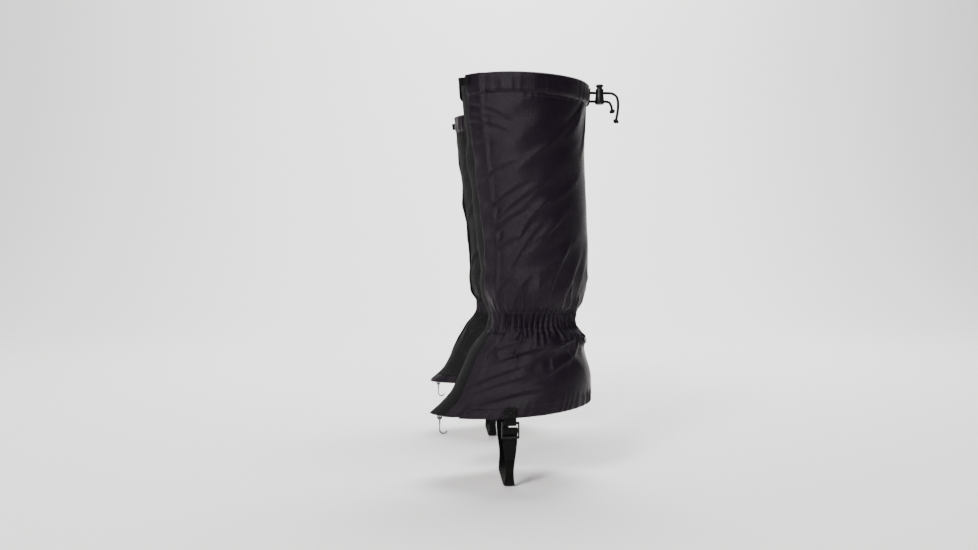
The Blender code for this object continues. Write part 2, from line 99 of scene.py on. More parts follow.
# %% [markdown]
# A gaiter's surface is a tube whose outline changes with height, so one function can give any point
# on it. Each row of the outline says where the shin and calf sides are, how wide the tube is, and
# how egg-shaped its section is. A smooth cubic runs through the rows. The angle goes round the leg:
# 0 at the shin, 90 on the outer side, 180 at the calf.

# %% Outline and the smooth skin of one gaiter
OUTLINE = np.array(
    (
        (0.000, -0.130, 0.066, 0.048, 0.25),
        (0.072, -0.114, 0.066, 0.050, 0.25),
        (0.089, -0.095, 0.067, 0.052, 0.17),
        (0.123, -0.077, 0.066, 0.053, 0.08),
        (0.143, -0.067, 0.060, 0.051, 0.04),
        (0.158, -0.057, 0.061, 0.050, 0.00),
        (0.166, -0.050, 0.056, 0.046, 0.00),
        (0.173, -0.046, 0.050, 0.042, 0.00),
        (0.186, -0.045, 0.050, 0.042, 0.00),
        (0.196, -0.050, 0.056, 0.047, 0.00),
        (0.210, -0.054, 0.060, 0.051, 0.00),
        (0.240, -0.054, 0.063, 0.053, 0.00),
        (0.335, -0.065, 0.060, 0.058, 0.00),
        (0.403, -0.073, 0.060, 0.060, 0.00),
        (0.446, -0.077, 0.063, 0.061, 0.00),
        (0.480, -0.080, 0.064, 0.062, 0.00),
    )
)
HEIGHTS = OUTLINE[:, 0]
SLOPES = np.gradient(OUTLINE[:, 1:], HEIGHTS, axis=0)


def outline_at(z):
    """Shin side, calf side, half width and egg shape at each height, on a cubic."""
    i = np.clip(np.searchsorted(HEIGHTS, z) - 1, 0, len(HEIGHTS) - 2)
    span = HEIGHTS[i + 1] - HEIGHTS[i]
    t = ((z - HEIGHTS[i]) / span)[..., None]
    span = span[..., None]
    low, high = OUTLINE[i, 1:], OUTLINE[i + 1, 1:]
    rise = 3 * t**2 - 2 * t**3
    near, far = (t - 2 * t**2 + t**3) * span, (t**3 - t**2) * span
    return low + (high - low) * rise + SLOPES[i] * near + SLOPES[i + 1] * far


def skin(degrees, z, offset=0.0):
    """Points (x, out, z) of the smooth surface, moved outwards by an offset."""
    degrees, z, offset = np.broadcast_arrays(*(np.asarray(v, float) for v in (degrees, z, offset)))
    shin, calf, half_width, egg = np.moveaxis(outline_at(z), -1, 0)
    angle = np.radians(degrees)
    half_depth = (calf - shin) / 2
    x = (shin + calf) / 2 - half_depth * np.cos(angle)
    out = half_width * np.sin(angle) * (1 - egg * np.cos(angle))
    along_x = half_depth * np.sin(angle)
    along_out = half_width * (np.cos(angle) - egg * np.cos(2 * angle))
    length = np.hypot(along_x, along_out)
    return np.stack((x - offset * along_out / length, out + offset * along_x / length, z), -1)


def rim(degrees):
    return RIM_Z - RIM_DROP * (1 - np.cos(np.radians(degrees))) / 2


def hem_low(degrees):
    return rim(degrees) - HEM_HEIGHT


def bottom(degrees):
    angle = np.radians(degrees)
    return 0.0787 - 0.0075 * np.cos(angle) + 0.0018 * np.cos(2 * angle)


def place(side, points):
    """World points from a gaiter's own (x, out, z)."""
    points = np.array(points, float)
    points[..., 1] = side * (HALF_SPACING + points[..., 1])
    return points


# %% [markdown]
# Shader maths reads best as plain expressions. The class below wraps a node's output socket, so that
# adding or multiplying two wires adds the Math node that does it. Finish makes one material and adds
# any other node by its type, its settings and the values of its sockets.

# %% Helpers for materials
class Wire:
    """An output socket that can be used in Python expressions."""

    def __init__(self, finish, socket):
        self.finish = finish
        self.socket = socket

    def maths(self, operation, *values):
        return self.finish.node("ShaderNodeMath", {"operation": operation}, dict(enumerate(values)))

    def __add__(self, other):
        return self.maths("ADD", self, other)

    def __sub__(self, other):
        return self.maths("SUBTRACT", self, other)

    def __rsub__(self, other):
        return self.maths("SUBTRACT", other, self)

    def __mul__(self, other):
        return self.maths("MULTIPLY", self, other)

    def __pow__(self, other):
        return self.maths("POWER", self, other)

    __radd__ = __add__
    __rmul__ = __mul__

    def sine(self):
        return self.maths("SINE", self)

    def size(self):
        return self.maths("ABSOLUTE", self)


class Finish:
    """One material: a Principled shader and the nodes that feed it."""

    def __init__(self, name, **constants):
        self.material = bpy.data.materials.new(name)
        self.material.use_nodes = True
        self.tree = self.material.node_tree
        self.shader = self.tree.nodes["Principled BSDF"]
        for socket, value in constants.items():
            self.shader.inputs[socket.replace("_", " ")].default_value = value

    def node(self, kind, settings=None, inputs=None, output=0):
        made = self.tree.nodes.new(kind)
        for name, value in (settings or {}).items():
            setattr(made, name, value)
        for key, value in (inputs or {}).items():
            if isinstance(value, Wire):
                self.tree.links.new(value.socket, made.inputs[key])
            else:
                made.inputs[key].default_value = value
        return Wire(self, made.outputs[output])

    def place(self):
        return self.node("ShaderNodeTexCoord", output="Object")

    def cloth_axes(self):
        """Metres across and along the cloth, from the piece's own UV map."""
        uv = self.node("ShaderNodeTexCoord", output="UV")
        parts = self.node("ShaderNodeSeparateXYZ", {}, {0: uv}).socket.node
        return Wire(self, parts.outputs[0]), Wire(self, parts.outputs[1])

    def noise(self, scale, detail=3.0, rough=0.55, where=None):
        vector = where or self.place()
        inputs = {"Vector": vector, "Scale": scale, "Detail": detail, "Roughness": rough}
        return self.node("ShaderNodeTexNoise", {}, inputs)

    def mix(self, share, first, second):
        settings = {"data_type": "RGBA"}
        inputs = {0: share, 6: first, 7: second}
        return self.node("ShaderNodeMix", settings, inputs, output=2)

    def feed(self, socket, wire):
        self.tree.links.new(wire.socket, self.shader.inputs[socket])

    def colour(self, share, dark, light):
        self.feed("Base Color", self.mix(share, (*dark, 1.0), (*light, 1.0)))

    def bump(self, height, distance, strength=1.0):
        inputs = {"Height": height, "Distance": distance, "Strength": strength}
        self.feed("Normal", self.node("ShaderNodeBump", {}, inputs))


# %% [markdown]
# The outer shell is a tight plain weave of fine nylon with a heavier yarn every few millimetres,
# which stops a tear. Seen from a metre it is nearly smooth, dark and a little purple, with a soft
# sheen on its folds. The weave is made from sine waves on the cloth's own UV map, which is in
# metres, so its yarns keep their real size on every panel.

# %% Woven finishes
def woven(name, dark, light, yarn, ripstop, roughness, sheen, wear=0.25):
    cloth = Finish(name, Sheen_Weight=sheen, Sheen_Roughness=0.4, Specular_IOR_Level=0.14)
    across, along = cloth.cloth_axes()
    turn = 2 * math.pi / yarn
    weave = (across * turn).sine() * (along * turn).sine()
    thick_across = (across * (2 * math.pi / ripstop)).sine().size() ** 12.0
    thick_along = (along * (2 * math.pi / ripstop)).sine().size() ** 12.0
    grid = thick_across + thick_along
    cloud = cloth.noise(28.0, 4.0)
    fleck = cloth.noise(900.0, 2.0)
    scuff = cloth.noise(95.0, 5.0, 0.7)
    tone = cloud * 0.55 + fleck * 0.25 + weave * 0.08 + grid * 0.10
    cloth.colour(tone, dark, light)
    rough = cloud * 0.10 + scuff * wear * 0.3 + (roughness - 0.10) - grid * 0.03
    cloth.feed("Roughness", rough)
    cloth.bump(weave * 0.5 + grid * 0.8 + fleck * 0.3 + scuff * 0.4, 0.00012, 0.8)
    return cloth.material


OUTER = woven(
    "outer_ripstop",
    (0.0027, 0.0010, 0.0034),
    (0.0086, 0.0042, 0.0104),
    yarn=0.0007,
    ripstop=0.0050,
    roughness=0.36,
    sheen=0.008,
)
INNER = woven(
    "inner_pack_cloth",
    (0.0020, 0.0018, 0.0018),
    (0.0066, 0.0062, 0.0061),
    yarn=0.0014,
    ripstop=0.0100,
    roughness=0.70,
    sheen=0.01,
    wear=0.5,
)


# %% [markdown]
# Webbing and elastic are woven flat with thick yarns. A herringbone needs only one set of ribs whose
# phase bends to and fro across the width, so the same function makes both bands.

# %% Webbing and elastic
def webbing_finish(name, dark, light, rib, roughness=0.7):
    """Flat webbing: a herringbone of thick yarns, from the piece's UV map in metres."""
    band = Finish(name, Sheen_Weight=0.01, Specular_IOR_Level=0.07)
    across, along = band.cloth_axes()
    turn = 2 * math.pi / rib
    slant = (across * turn).sine().size() * 2.2
    ribs = (along * turn + slant).sine()
    fleck = band.noise(1400.0, 2.0)
    cloud = band.noise(60.0, 3.0)
    tone = ribs * 0.25 + fleck * 0.35 + cloud * 0.25 + 0.1
    band.colour(tone, dark, light)
    band.feed("Roughness", cloud * 0.15 + (roughness - 0.08))
    band.bump(ribs * 0.7 + fleck * 0.4, 0.0002, 0.9)
    return band.material


WEBBING = webbing_finish("black_webbing", (0.0022, 0.0021, 0.0021), (0.0088, 0.0082, 0.0080), 0.0011)
ELASTIC = webbing_finish("woven_elastic", (0.006, 0.006, 0.006), (0.020, 0.020, 0.020), 0.0008)


# %% [markdown]
# Loop tape is a low fuzz and hook tape is rows of tiny stiff stems. From a metre both read as a matt
# speckle, so a noise and a cell pattern in the bump do the work, and no fibre is modelled.

# %% Hook and loop tape
def pile(name, dark, light, scale, depth):
    """Hook or loop tape: a dense short pile."""
    tape = Finish(name, Roughness=0.95, Sheen_Weight=0.02, Specular_IOR_Level=0.08)
    vector = tape.place()
    cells = tape.node("ShaderNodeTexVoronoi", {}, {"Vector": vector, "Scale": scale})
    fuzz = tape.noise(scale * 1.7, 4.0, 0.7)
    tape.colour(fuzz * 0.7 + cells * 0.3, dark, light)
    tape.bump(fuzz - cells * 0.8, depth, 1.0)
    return tape.material


LOOP = pile("loop_pile", (0.0022, 0.0022, 0.0024), (0.0085, 0.0085, 0.009), 1300.0, 0.0005)
HOOKS = pile("hook_rows", (0.0025, 0.0025, 0.0025), (0.012, 0.012, 0.012), 800.0, 0.0006)


# %% [markdown]
# The buckle and the cord lock are moulded plastic with a fine satin grain, dull except where fingers
# have polished it.

# %% Moulded plastic
def moulded(name, colour, roughness):
    """Moulded plastic with a fine satin grain and slightly polished wear."""
    part = Finish(name, Specular_IOR_Level=0.22)
    grain = part.noise(2600.0, 3.0)
    cloud = part.noise(150.0, 3.0)
    light = tuple(value * 1.9 for value in colour)
    part.colour(cloud * 0.7 + grain * 0.2, colour, light)
    part.feed("Roughness", cloud * 0.22 + (roughness - 0.11))
    part.bump(grain, 0.00004, 0.7)
    return part.material


PLASTIC = moulded("satin_black_plastic", (0.0030, 0.0029, 0.0029), 0.42)


# %% [markdown]
# The elastic cord has a braided cover: two sets of yarns that cross as they go round. Two sine waves
# of opposite slant on the cord's UV map give the crossing.

# %% Braided cord
def braided(name):
    """Elastic cord: two sets of yarns that cross round the core, with a few grey flecks."""
    cord = Finish(name, Sheen_Weight=0.01, Specular_IOR_Level=0.07)
    round_cord, along = cord.cloth_axes()
    one = (round_cord * 50.0 + along * 2600.0).sine()
    other = (round_cord * 50.0 - along * 2600.0).sine()
    braid = one * other
    fleck = cord.noise(1500.0, 2.0)
    tone = braid.size() * 0.4 + fleck * 0.4
    cord.colour(tone, (0.005, 0.005, 0.0055), (0.030, 0.030, 0.031))
    cord.feed("Roughness", fleck * 0.2 + 0.6)
    cord.bump(braid.size(), 0.0003, 0.9)
    return cord.material


CORD = braided("braided_elastic_cord")


# %% [markdown]
# The lace hook and the spring are drawn wire, which is darker and duller than polished steel. The
# sewing thread is a twisted yarn, in a tone to match the cloth and in black for the webbing.

# %% Steel and thread
def drawn_steel(name):
    steel = Finish(name, Metallic=1.0)
    streak = steel.noise(700.0, 4.0, 0.7)
    cloud = steel.noise(120.0, 2.0)
    steel.colour(cloud, (0.10, 0.10, 0.105), (0.24, 0.24, 0.25))
    steel.feed("Roughness", streak * 0.25 + 0.22)
    steel.bump(streak, 0.00003, 0.5)
    return steel.material


STEEL = drawn_steel("dark_satin_steel")


def thread_finish(name, dark, light):
    thread = Finish(name, Roughness=0.6, Specular_IOR_Level=0.2)
    twist = thread.noise(2400.0, 2.0)
    thread.colour(twist, dark, light)
    thread.bump(twist, 0.00008, 0.8)
    return thread.material


THREAD = thread_finish("sewing_thread", (0.006, 0.005, 0.006), (0.022, 0.019, 0.022))
BLACK_THREAD = thread_finish("black_thread", (0.006, 0.006, 0.006), (0.030, 0.030, 0.030))
print("materials:", len(bpy.data.materials))

# %% [markdown]
# Cloth of this kind creases where it is held. The ankle elastic draws the tube in, so it puckers
# into some fifty gathers that merge into broader folds as they leave the band. The shin panel hangs
# in long slanting pulls from the instep up towards the calf, and the hems are slightly puckered by
# their thread. All of this is one displacement of the skin, added from a few kinds of crease, so
# neighbouring panels stay in line at their seams.

# %% Smooth random values for creases
NOISE_CELLS = 256


def lattice_noise(x, y, seed):
    """Smooth value noise from -1 to 1."""
    chance = np.random.RandomState(seed).uniform(-1.0, 1.0, (NOISE_CELLS + 1, NOISE_CELLS + 1))
    x, y = np.broadcast_arrays(np.asarray(x, float), np.asarray(y, float))
    ix, iy = np.floor(x).astype(int), np.floor(y).astype(int)
    fx, fy = x - ix, y - iy
    fx, fy = fx * fx * (3 - 2 * fx), fy * fy * (3 - 2 * fy)
    x0, x1 = ix % NOISE_CELLS, (ix + 1) % NOISE_CELLS
    y0, y1 = iy % NOISE_CELLS, (iy + 1) % NOISE_CELLS
    low = chance[x0, y0] * (1 - fx) + chance[x1, y0] * fx
    high = chance[x0, y1] * (1 - fx) + chance[x1, y1] * fx
    return low * (1 - fy) + high * fy


def gathers(degrees, z, count, seed, lean=0.0):
    """Ridges that run up the tube, count of them round the leg, from -1 to 1."""
    wander = lattice_noise(degrees / 17.0, z * 40.0, seed + 1) * 0.8
    cell = degrees / 360.0 * count + wander + lean * z
    ridge = 1.0 - 2.0 * np.abs(np.sin(np.pi * cell)) ** 0.8
    return ridge * (0.72 + 0.28 * lattice_noise(cell * 0.9, z * 30.0, seed))


def ankle_gathers(degrees, z, seed):
    return gathers(degrees, z * 0.35, 52, seed)


def hem_gathers(degrees, z, seed):
    return gathers(degrees, z * 0.5, 46, seed + 20)


def fade(distance, reach):
    return np.exp(-((distance / reach) ** 2))


print("gathers swing by", round(float(np.ptp(ankle_gathers(np.arange(360.0), ANKLE_LOW, 3))), 2))

# %% [markdown]
# The long folds are few and each has its place, so they are listed one by one. Each fold has a start
# (angle, height), an end (angle, height), a half width and the height of its ridge. A negative
# height is a crease. A ridge is steep on one side and gentle on the other, as pulled cloth is.

# %% Long folds of the shin and boot panels
SHIN_FOLDS = (
    (24, 0.322, 76, 0.353, 0.0030, 0.0024),
    (30, 0.291, 80, 0.328, 0.0032, 0.0030),
    (42, 0.281, 98, 0.327, 0.0040, 0.0044),
    (36, 0.268, 84, 0.300, 0.0042, -0.0028),
    (28, 0.246, 74, 0.273, 0.0042, 0.0030),
    (68, 0.266, 104, 0.312, 0.0036, 0.0036),
    (60, 0.236, 96, 0.288, 0.0040, 0.0026),
    (84, 0.250, 124, 0.300, 0.0048, 0.0022),
    (26, 0.415, 73, 0.391, 0.0030, -0.0032),
    (28, 0.404, 66, 0.396, 0.0044, 0.0020),
    (20, 0.396, 70, 0.380, 0.0028, -0.0028),
    (24, 0.372, 66, 0.372, 0.0060, 0.0012),
    (152, 0.420, 118, 0.386, 0.0040, -0.0026),
    (150, 0.408, 124, 0.374, 0.0048, 0.0020),
    (168, 0.414, 150, 0.360, 0.0046, 0.0020),
    (40, 0.198, 60, 0.232, 0.0044, 0.0028),
    (62, 0.196, 78, 0.226, 0.0040, 0.0030),
    (84, 0.196, 104, 0.236, 0.0040, 0.0030),
    (99, 0.194, 123, 0.264, 0.0042, 0.0036),
    (120, 0.194, 140, 0.252, 0.0042, 0.0030),
    (142, 0.194, 158, 0.262, 0.0044, 0.0028),
    (162, 0.194, 172, 0.240, 0.0040, 0.0026),
    (205, 0.196, 222, 0.262, 0.0044, 0.0030),
    (232, 0.196, 252, 0.276, 0.0046, 0.0034),
    (262, 0.198, 296, 0.290, 0.0048, 0.0034),
    (290, 0.200, 326, 0.262, 0.0046, 0.0032),
    (240, 0.300, 300, 0.362, 0.0050, 0.0030),
    (218, 0.330, 262, 0.392, 0.0050, 0.0026),
    (300, 0.335, 352, 0.300, 0.0044, 0.0036),
    (300, 0.402, 338, 0.372, 0.0044, -0.0026),
    (318, 0.262, 354, 0.236, 0.0040, 0.0034),
)
BOOT_FOLDS = (
    (30, 0.101, 92, 0.137, 0.0038, 0.0034),
    (44, 0.098, 100, 0.122, 0.0034, -0.0022),
    (60, 0.137, 112, 0.156, 0.0036, 0.0032),
    (46, 0.128, 92, 0.146, 0.0034, -0.0022),
    (50, 0.148, 84, 0.162, 0.0034, 0.0026),
    (60, 0.092, 110, 0.110, 0.0036, 0.0026),
    (98, 0.116, 134, 0.140, 0.0040, 0.0022),
    (112, 0.150, 140, 0.160, 0.0030, 0.0026),
    (146, 0.163, 172, 0.158, 0.0034, 0.0046),
    (150, 0.150, 184, 0.149, 0.0036, -0.0034),
    (126, 0.152, 146, 0.128, 0.0036, 0.0022),
    (188, 0.158, 214, 0.140, 0.0038, 0.0034),
    (236, 0.150, 262, 0.112, 0.0042, 0.0028),
    (276, 0.118, 328, 0.146, 0.0042, 0.0032),
    (290, 0.100, 336, 0.122, 0.0038, 0.0028),
)
ROUND = 0.058
PULL_SLOPE = math.radians(36)


def long_folds(degrees, z, folds):
    """The sum of tapered ridges, each along a gently bowed line on the unrolled cloth."""
    total = np.zeros(np.broadcast(degrees, z).shape)
    across = np.radians(degrees) * ROUND
    for start, low, end, high, width, tall in folds:
        a = np.array((math.radians(start) * ROUND, low))
        run = np.array((math.radians(end) * ROUND, high)) - a
        length = np.hypot(*run)
        run = run / length
        along = (across - a[0]) * run[0] + (z - a[1]) * run[1]
        t = np.clip(along / length, 0.0, 1.0)
        bow = 0.05 * length * np.sin(np.pi * t)
        beside = (across - a[0]) * run[1] - (z - a[1]) * run[0] + bow
        beyond = np.abs(along - t * length)
        taper = np.sin(np.pi * np.clip(t, 0.04, 0.96)) ** 0.6 * fade(beyond, 0.006)
        wide = width * (0.75 + 0.5 * t)
        steep = np.where(beside * np.sign(tall) > 0, wide * 0.50, wide * 1.6)
        total += tall * taper * (fade(beside, steep) - 0.40 * fade(beside, 2.2 * wide))
    return total


# %% [markdown]
# One function adds up every kind of crease. The elastic's gathers are fine at the band and merge
# into fewer, broader ones further off. Long folds, small slanting pulls and hem puckers come on top,
# and all of them fade near the rim, where the folded hem is stiff.

# %% All creases together
def creases(degrees, z, seed):
    """How far the cloth stands off its smooth skin, in metres."""
    degrees, z = np.broadcast_arrays(np.asarray(degrees, float), np.asarray(z, float))
    middle = (ANKLE_LOW + ANKLE_HIGH) / 2
    away = np.maximum(np.abs(z - middle) - (ANKLE_HIGH - ANKLE_LOW) / 2, 0.0)
    fine = ankle_gathers(degrees, z, seed) * 0.0012 * fade(away, 0.008)
    medium = gathers(degrees, z * 0.5, 26, seed + 5, 9.0) * 0.0012
    medium *= fade(away - 0.010, 0.009)
    broad = gathers(degrees, z * 0.6, 12, seed + 9, 5.0) * 0.0014 * fade(away - 0.026, 0.018)
    folds = long_folds(degrees % 360.0, z, SHIN_FOLDS) * (z > ANKLE_HIGH)
    folds = folds + long_folds(degrees % 360.0, z, BOOT_FOLDS) * (z < ANKLE_LOW)
    slack = lattice_noise(degrees / 22.0 + z * 18.0, z * 22.0, seed + 12) * 0.0009
    low_hem = bottom(degrees) + BOTTOM_HEM
    pucker = hem_gathers(degrees, z, seed) * 0.0006 * fade(z - low_hem, 0.007)
    heel = np.abs(np.cos(np.radians(degrees / 2.0))) < 0.62
    pucker *= 0.5 + heel
    top = gathers(degrees, z * 0.4, 40, seed + 30) * 0.0004 * fade(z - hem_low(degrees), 0.006)
    quiet = np.clip((RIM_Z - z) / 0.05, 0.25, 1.0)
    arc_run = np.radians(degrees) * ROUND
    slope = PULL_SLOPE * np.where(degrees > 180.0, -1.0, 1.0)
    along = arc_run * np.cos(slope) + z * np.sin(slope)
    beside = z * np.cos(slope) - arc_run * np.sin(slope)
    pull = lattice_noise(along * 17.0, beside * 62.0, seed + 40)
    facet = lattice_noise(along * 9.0, beside * 24.0, seed + 44)
    pulls = (1 - 2.2 * np.abs(pull)) * 0.0009 + facet * 0.0016
    pulls *= fade((np.abs(degrees - 180.0) - 105) * 0.01, 0.75)
    return fine + medium + broad + folds * 0.80 + (slack * 0.5 + pulls) * quiet + pucker + top


# %% [markdown]
# Every piece comes from one of four shapes. A wrap is cloth that follows the skin: a line across the
# cloth, in offset and height, given a thickness and carried round the leg. A ribbon is flat webbing
# along a path, a tube is round cord or wire along a path, and a lathe turns a profile about an axis.
# Each returns points, faces and a UV in metres, and piece() makes an object of one or more of them.

# %% Four kinds of shape
def grid_faces(rows, columns, closed):
    """Quads of a grid stored row by row. A closed grid joins its last column to its first."""
    i, k = np.meshgrid(np.arange(rows - 1), np.arange(columns - (not closed)), indexing="ij")
    after = (k + 1) % columns
    corners = (i * columns + k, i * columns + after, (i + 1) * columns + after)
    return np.stack((*corners, (i + 1) * columns + k), -1).reshape(-1, 4).tolist()


def wrap(side, degrees, offset, height, thickness):
    """Cloth round the leg from centre lines, as arrays with one row for each angle."""
    degrees = np.asarray(degrees, float)
    offset, height = np.broadcast_arrays(offset, height)
    run_off, run_up = np.gradient(offset, axis=1), np.gradient(height, axis=1)
    length = np.maximum(np.hypot(run_off, run_up), 1e-9)
    out_off, out_up = run_up / length * thickness / 2, -run_off / length * thickness / 2
    loop_off = np.concatenate((offset + out_off, (offset - out_off)[:, ::-1]), 1)
    loop_up = np.concatenate((height + out_up, (height - out_up)[:, ::-1]), 1)
    points = place(side, skin(degrees[:, None], loop_up, loop_off))
    steps = np.hypot(np.diff(offset, axis=1), np.diff(height, axis=1))
    along = np.concatenate((np.zeros((len(degrees), 1)), np.cumsum(steps, 1)), 1)
    along = along - along.mean() + height.mean()
    along = np.concatenate((along, along[:, ::-1]), 1)
    across = np.broadcast_to(np.radians(degrees)[:, None] * ROUND, along.shape)
    rows, columns = loop_off.shape
    faces = grid_faces(rows, columns, True)
    last = (rows - 1) * columns
    for k in range(columns // 2 - 1):
        cap = (k, k + 1, columns - 2 - k, columns - 1 - k)
        faces.append(cap[::-1])
        faces.append(tuple(last + corner for corner in cap))
    return points.reshape(-1, 3), faces, np.stack((across, along), -1).reshape(-1, 2)


# %% [markdown]
# Cords, wires and webbing follow lines. A Catmull-Rom line passes through every point it is given,
# so a route stays a short list. Its frames are carried from point to point, which keeps a ribbon
# from twisting.

# %% Lines and sweeps
def run_along(line):
    """Distance from the line's start to each of its points."""
    return np.concatenate(([0.0], np.cumsum(np.linalg.norm(np.diff(line, axis=0), axis=1))))


def smooth_line(points, step):
    """A Catmull-Rom line through points, cut into near-equal steps."""
    points = np.asarray(points, float)
    ends = np.concatenate((2 * points[:1] - points[1:2], points, 2 * points[-1:] - points[-2:-1]))
    parts = []
    for a, b, c, d in zip(ends, ends[1:], ends[2:], ends[3:]):
        t = np.linspace(0, 1, 12, endpoint=False)[:, None]
        curve = 2 * b + (c - a) * t + (2 * a - 5 * b + 4 * c - d) * t**2
        parts.append((curve + (3 * b - a - 3 * c + d) * t**3) / 2)
    line = np.concatenate((*parts, points[-1:]))
    run = run_along(line)
    marks = np.linspace(0, run[-1], max(int(round(run[-1] / step)), 2) + 1)
    return np.stack([np.interp(marks, run, line[:, axis]) for axis in range(3)], -1)


def line_length(line):
    return float(run_along(line)[-1])


def line_frames(line, first):
    """Two unit vectors square to the line at each point, turned as little as possible."""
    tangents = np.gradient(line, axis=0)
    tangents /= np.linalg.norm(tangents, axis=1, keepdims=True)
    sides = []
    side = np.asarray(first, float)
    for tangent in tangents:
        side = side - tangent * side.dot(tangent)
        side = side / np.linalg.norm(side)
        sides.append(side)
    sides = np.array(sides)
    return sides, np.cross(tangents, sides)


def swept(line, first, section, scale=None):
    """A closed section (across, up) carried along a line, with capped ends."""
    sides, ups = line_frames(line, first)
    section = np.asarray(section, float)
    scale = np.ones((len(line), 2)) if scale is None else scale
    across = section[None, :, 0, None] * scale[:, None, 0, None]
    up = section[None, :, 1, None] * scale[:, None, 1, None]
    points = line[:, None] + sides[:, None] * across + ups[:, None] * up
    rows, columns = points.shape[:2]
    run = run_along(line)
    faces = grid_faces(rows, columns, True)
    faces += [tuple(range(columns))[::-1], tuple((rows - 1) * columns + np.arange(columns))]
    across_uv = np.broadcast_to(section[:, 0], (rows, columns))
    along_uv = np.broadcast_to(run[:, None], (rows, columns))
    return points.reshape(-1, 3), faces, np.stack((across_uv, along_uv), -1).reshape(-1, 2)


def ribbon(line, across, width, thickness, scale=None):
    """Flat webbing with rounded selvedges."""
    half, thin = width / 2, thickness / 2
    top = [(x * half, thin * (1 - 0.5 * abs(x) ** 8)) for x in np.linspace(-1, 1, 13)]
    section = top + [(x, -z) for x, z in top[::-1]]
    return swept(np.asarray(line), across, section, scale)


def tube(line, radius, sides=16, first=(0.13, 0.21, 0.97)):
    """Round cord or wire. Its UV runs from 0 to 1 round it and in metres along it."""
    turn = np.linspace(0, 2 * np.pi, sides, endpoint=False)
    section = np.stack((np.cos(turn), np.sin(turn)), -1) * radius
    points, faces, uv = swept(np.asarray(line), first, section)
    uv[:, 0] = np.tile(np.abs(np.linspace(-1, 1, sides, endpoint=False)), len(line))
    return points, faces, uv


# %% [markdown]
# The cord lock's two parts are round, so a profile turned about an axis makes them. Sharp corners of
# a moulding are never quite sharp, and rounded() takes them off.

# %% Turned shapes
def lathe(centre, profile, sides=48):
    """A profile (radius, height) turned about the vertical through centre."""
    points, faces, uv, rings = [], [], [], []
    turn = np.linspace(0, 2 * np.pi, sides, endpoint=False)
    for radius, height in profile:
        ring = []
        for angle in turn[: 1 if radius < 1e-9 else sides]:
            ring.append(len(points))
            spot = (radius * math.cos(angle), radius * math.sin(angle), height)
            points.append([c + s for c, s in zip(centre, spot)])
            uv.append((radius * angle, height))
        rings.append(ring)
    for low, high in zip(rings, rings[1:]):
        for k in range(sides):
            corners = [low[k % len(low)], low[(k + 1) % len(low)]]
            corners += [high[(k + 1) % len(high)], high[k % len(high)]]
            corners = list(dict.fromkeys(corners))
            if len(corners) > 2:
                faces.append(tuple(corners))
    return np.array(points), faces, np.array(uv)


def rounded(points, radius, count=4):
    """A polyline with its inner corners rounded."""
    points = [np.array(point, float) for point in points]
    line = [points[0]]
    for before, corner, after in zip(points, points[1:], points[2:]):
        one, other = before - corner, after - corner
        reach = min(radius, np.linalg.norm(one) / 2, np.linalg.norm(other) / 2)
        start = corner + one / np.linalg.norm(one) * reach
        end = corner + other / np.linalg.norm(other) * reach
        for t in np.linspace(0, 1, count):
            line.append((1 - t) ** 2 * start + 2 * t * (1 - t) * corner + t * t * end)
    return line + [points[-1]]


# %% [markdown]
# A piece is one mesh of one or more closed shapes. Turning each shape by the sign of its volume
# makes its faces look outwards on both mirrored sides. fit() and bend() hide the imported nodes that
# a piece stands for.

# %% From shapes to pieces
def new_object(name, data):
    obj = bpy.data.objects.new(name, data)
    bpy.context.scene.collection.objects.link(obj)
    return obj


def piece(name, material, *shapes):
    """One object made of closed shapes, each turned so that its faces look outwards."""
    points, faces, uvs, first = [], [], [], 0
    for shape_points, shape_faces, shape_uv in shapes:
        quads = np.array([face for face in shape_faces if len(face) == 4])
        a, b, c, d = np.moveaxis(np.asarray(shape_points)[quads], 1, 0)
        volume = (a * (np.cross(b, c) + np.cross(c, d))).sum()
        turn = -1 if volume < 0 else 1
        faces += [tuple(k + first for k in face[::turn]) for face in shape_faces]
        points.append(shape_points)
        uvs.append(shape_uv)
        first += len(shape_points)
    mesh = bpy.data.meshes.new(name)
    mesh.from_pydata(np.concatenate(points).tolist(), [], faces)
    corners = np.empty(len(mesh.loops), int)
    mesh.loops.foreach_get("vertex_index", corners)
    layer = mesh.uv_layers.new(name="cloth")
    layer.data.foreach_set("uv", np.concatenate(uvs)[corners].astype(np.float32).ravel())
    mesh.shade_smooth()
    mesh.set_sharp_from_angle(angle=math.radians(55))
    mesh.materials.append(material)
    return new_object(name, mesh)


def final_mesh(obj):
    """The mesh that the object's modifiers give."""
    bpy.context.view_layer.update()
    graph = bpy.context.evaluated_depsgraph_get()
    return bpy.data.meshes.new_from_object(obj.evaluated_get(graph), depsgraph=graph)


def as_mesh(obj):
    """The object with its modifiers made permanent."""
    mesh = final_mesh(obj)
    obj.modifiers.clear()
    obj.data = mesh
    return obj


def fit(obj, body, slot, *nodes):
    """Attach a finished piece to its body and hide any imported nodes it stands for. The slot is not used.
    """
    if nodes:
        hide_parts(*nodes)
    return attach(obj, body)


def bend(obj, slot, node, bodies, start, end):
    """Hide the imported node a piece stands for and bake its place into its mesh. The slot, bodies, start
    and end are not used.
    """
    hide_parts(node)
    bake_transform(obj)


# %% [markdown]
# The drawcord leaves the hem at the calf as two strands: a running end, which ends in a knot, and a
# short end fixed beside it. Both pass through a spring cord lock. The strands are made first, since
# the lock has to fit them. They lie straight through the lock's two bores and hang limp behind it.

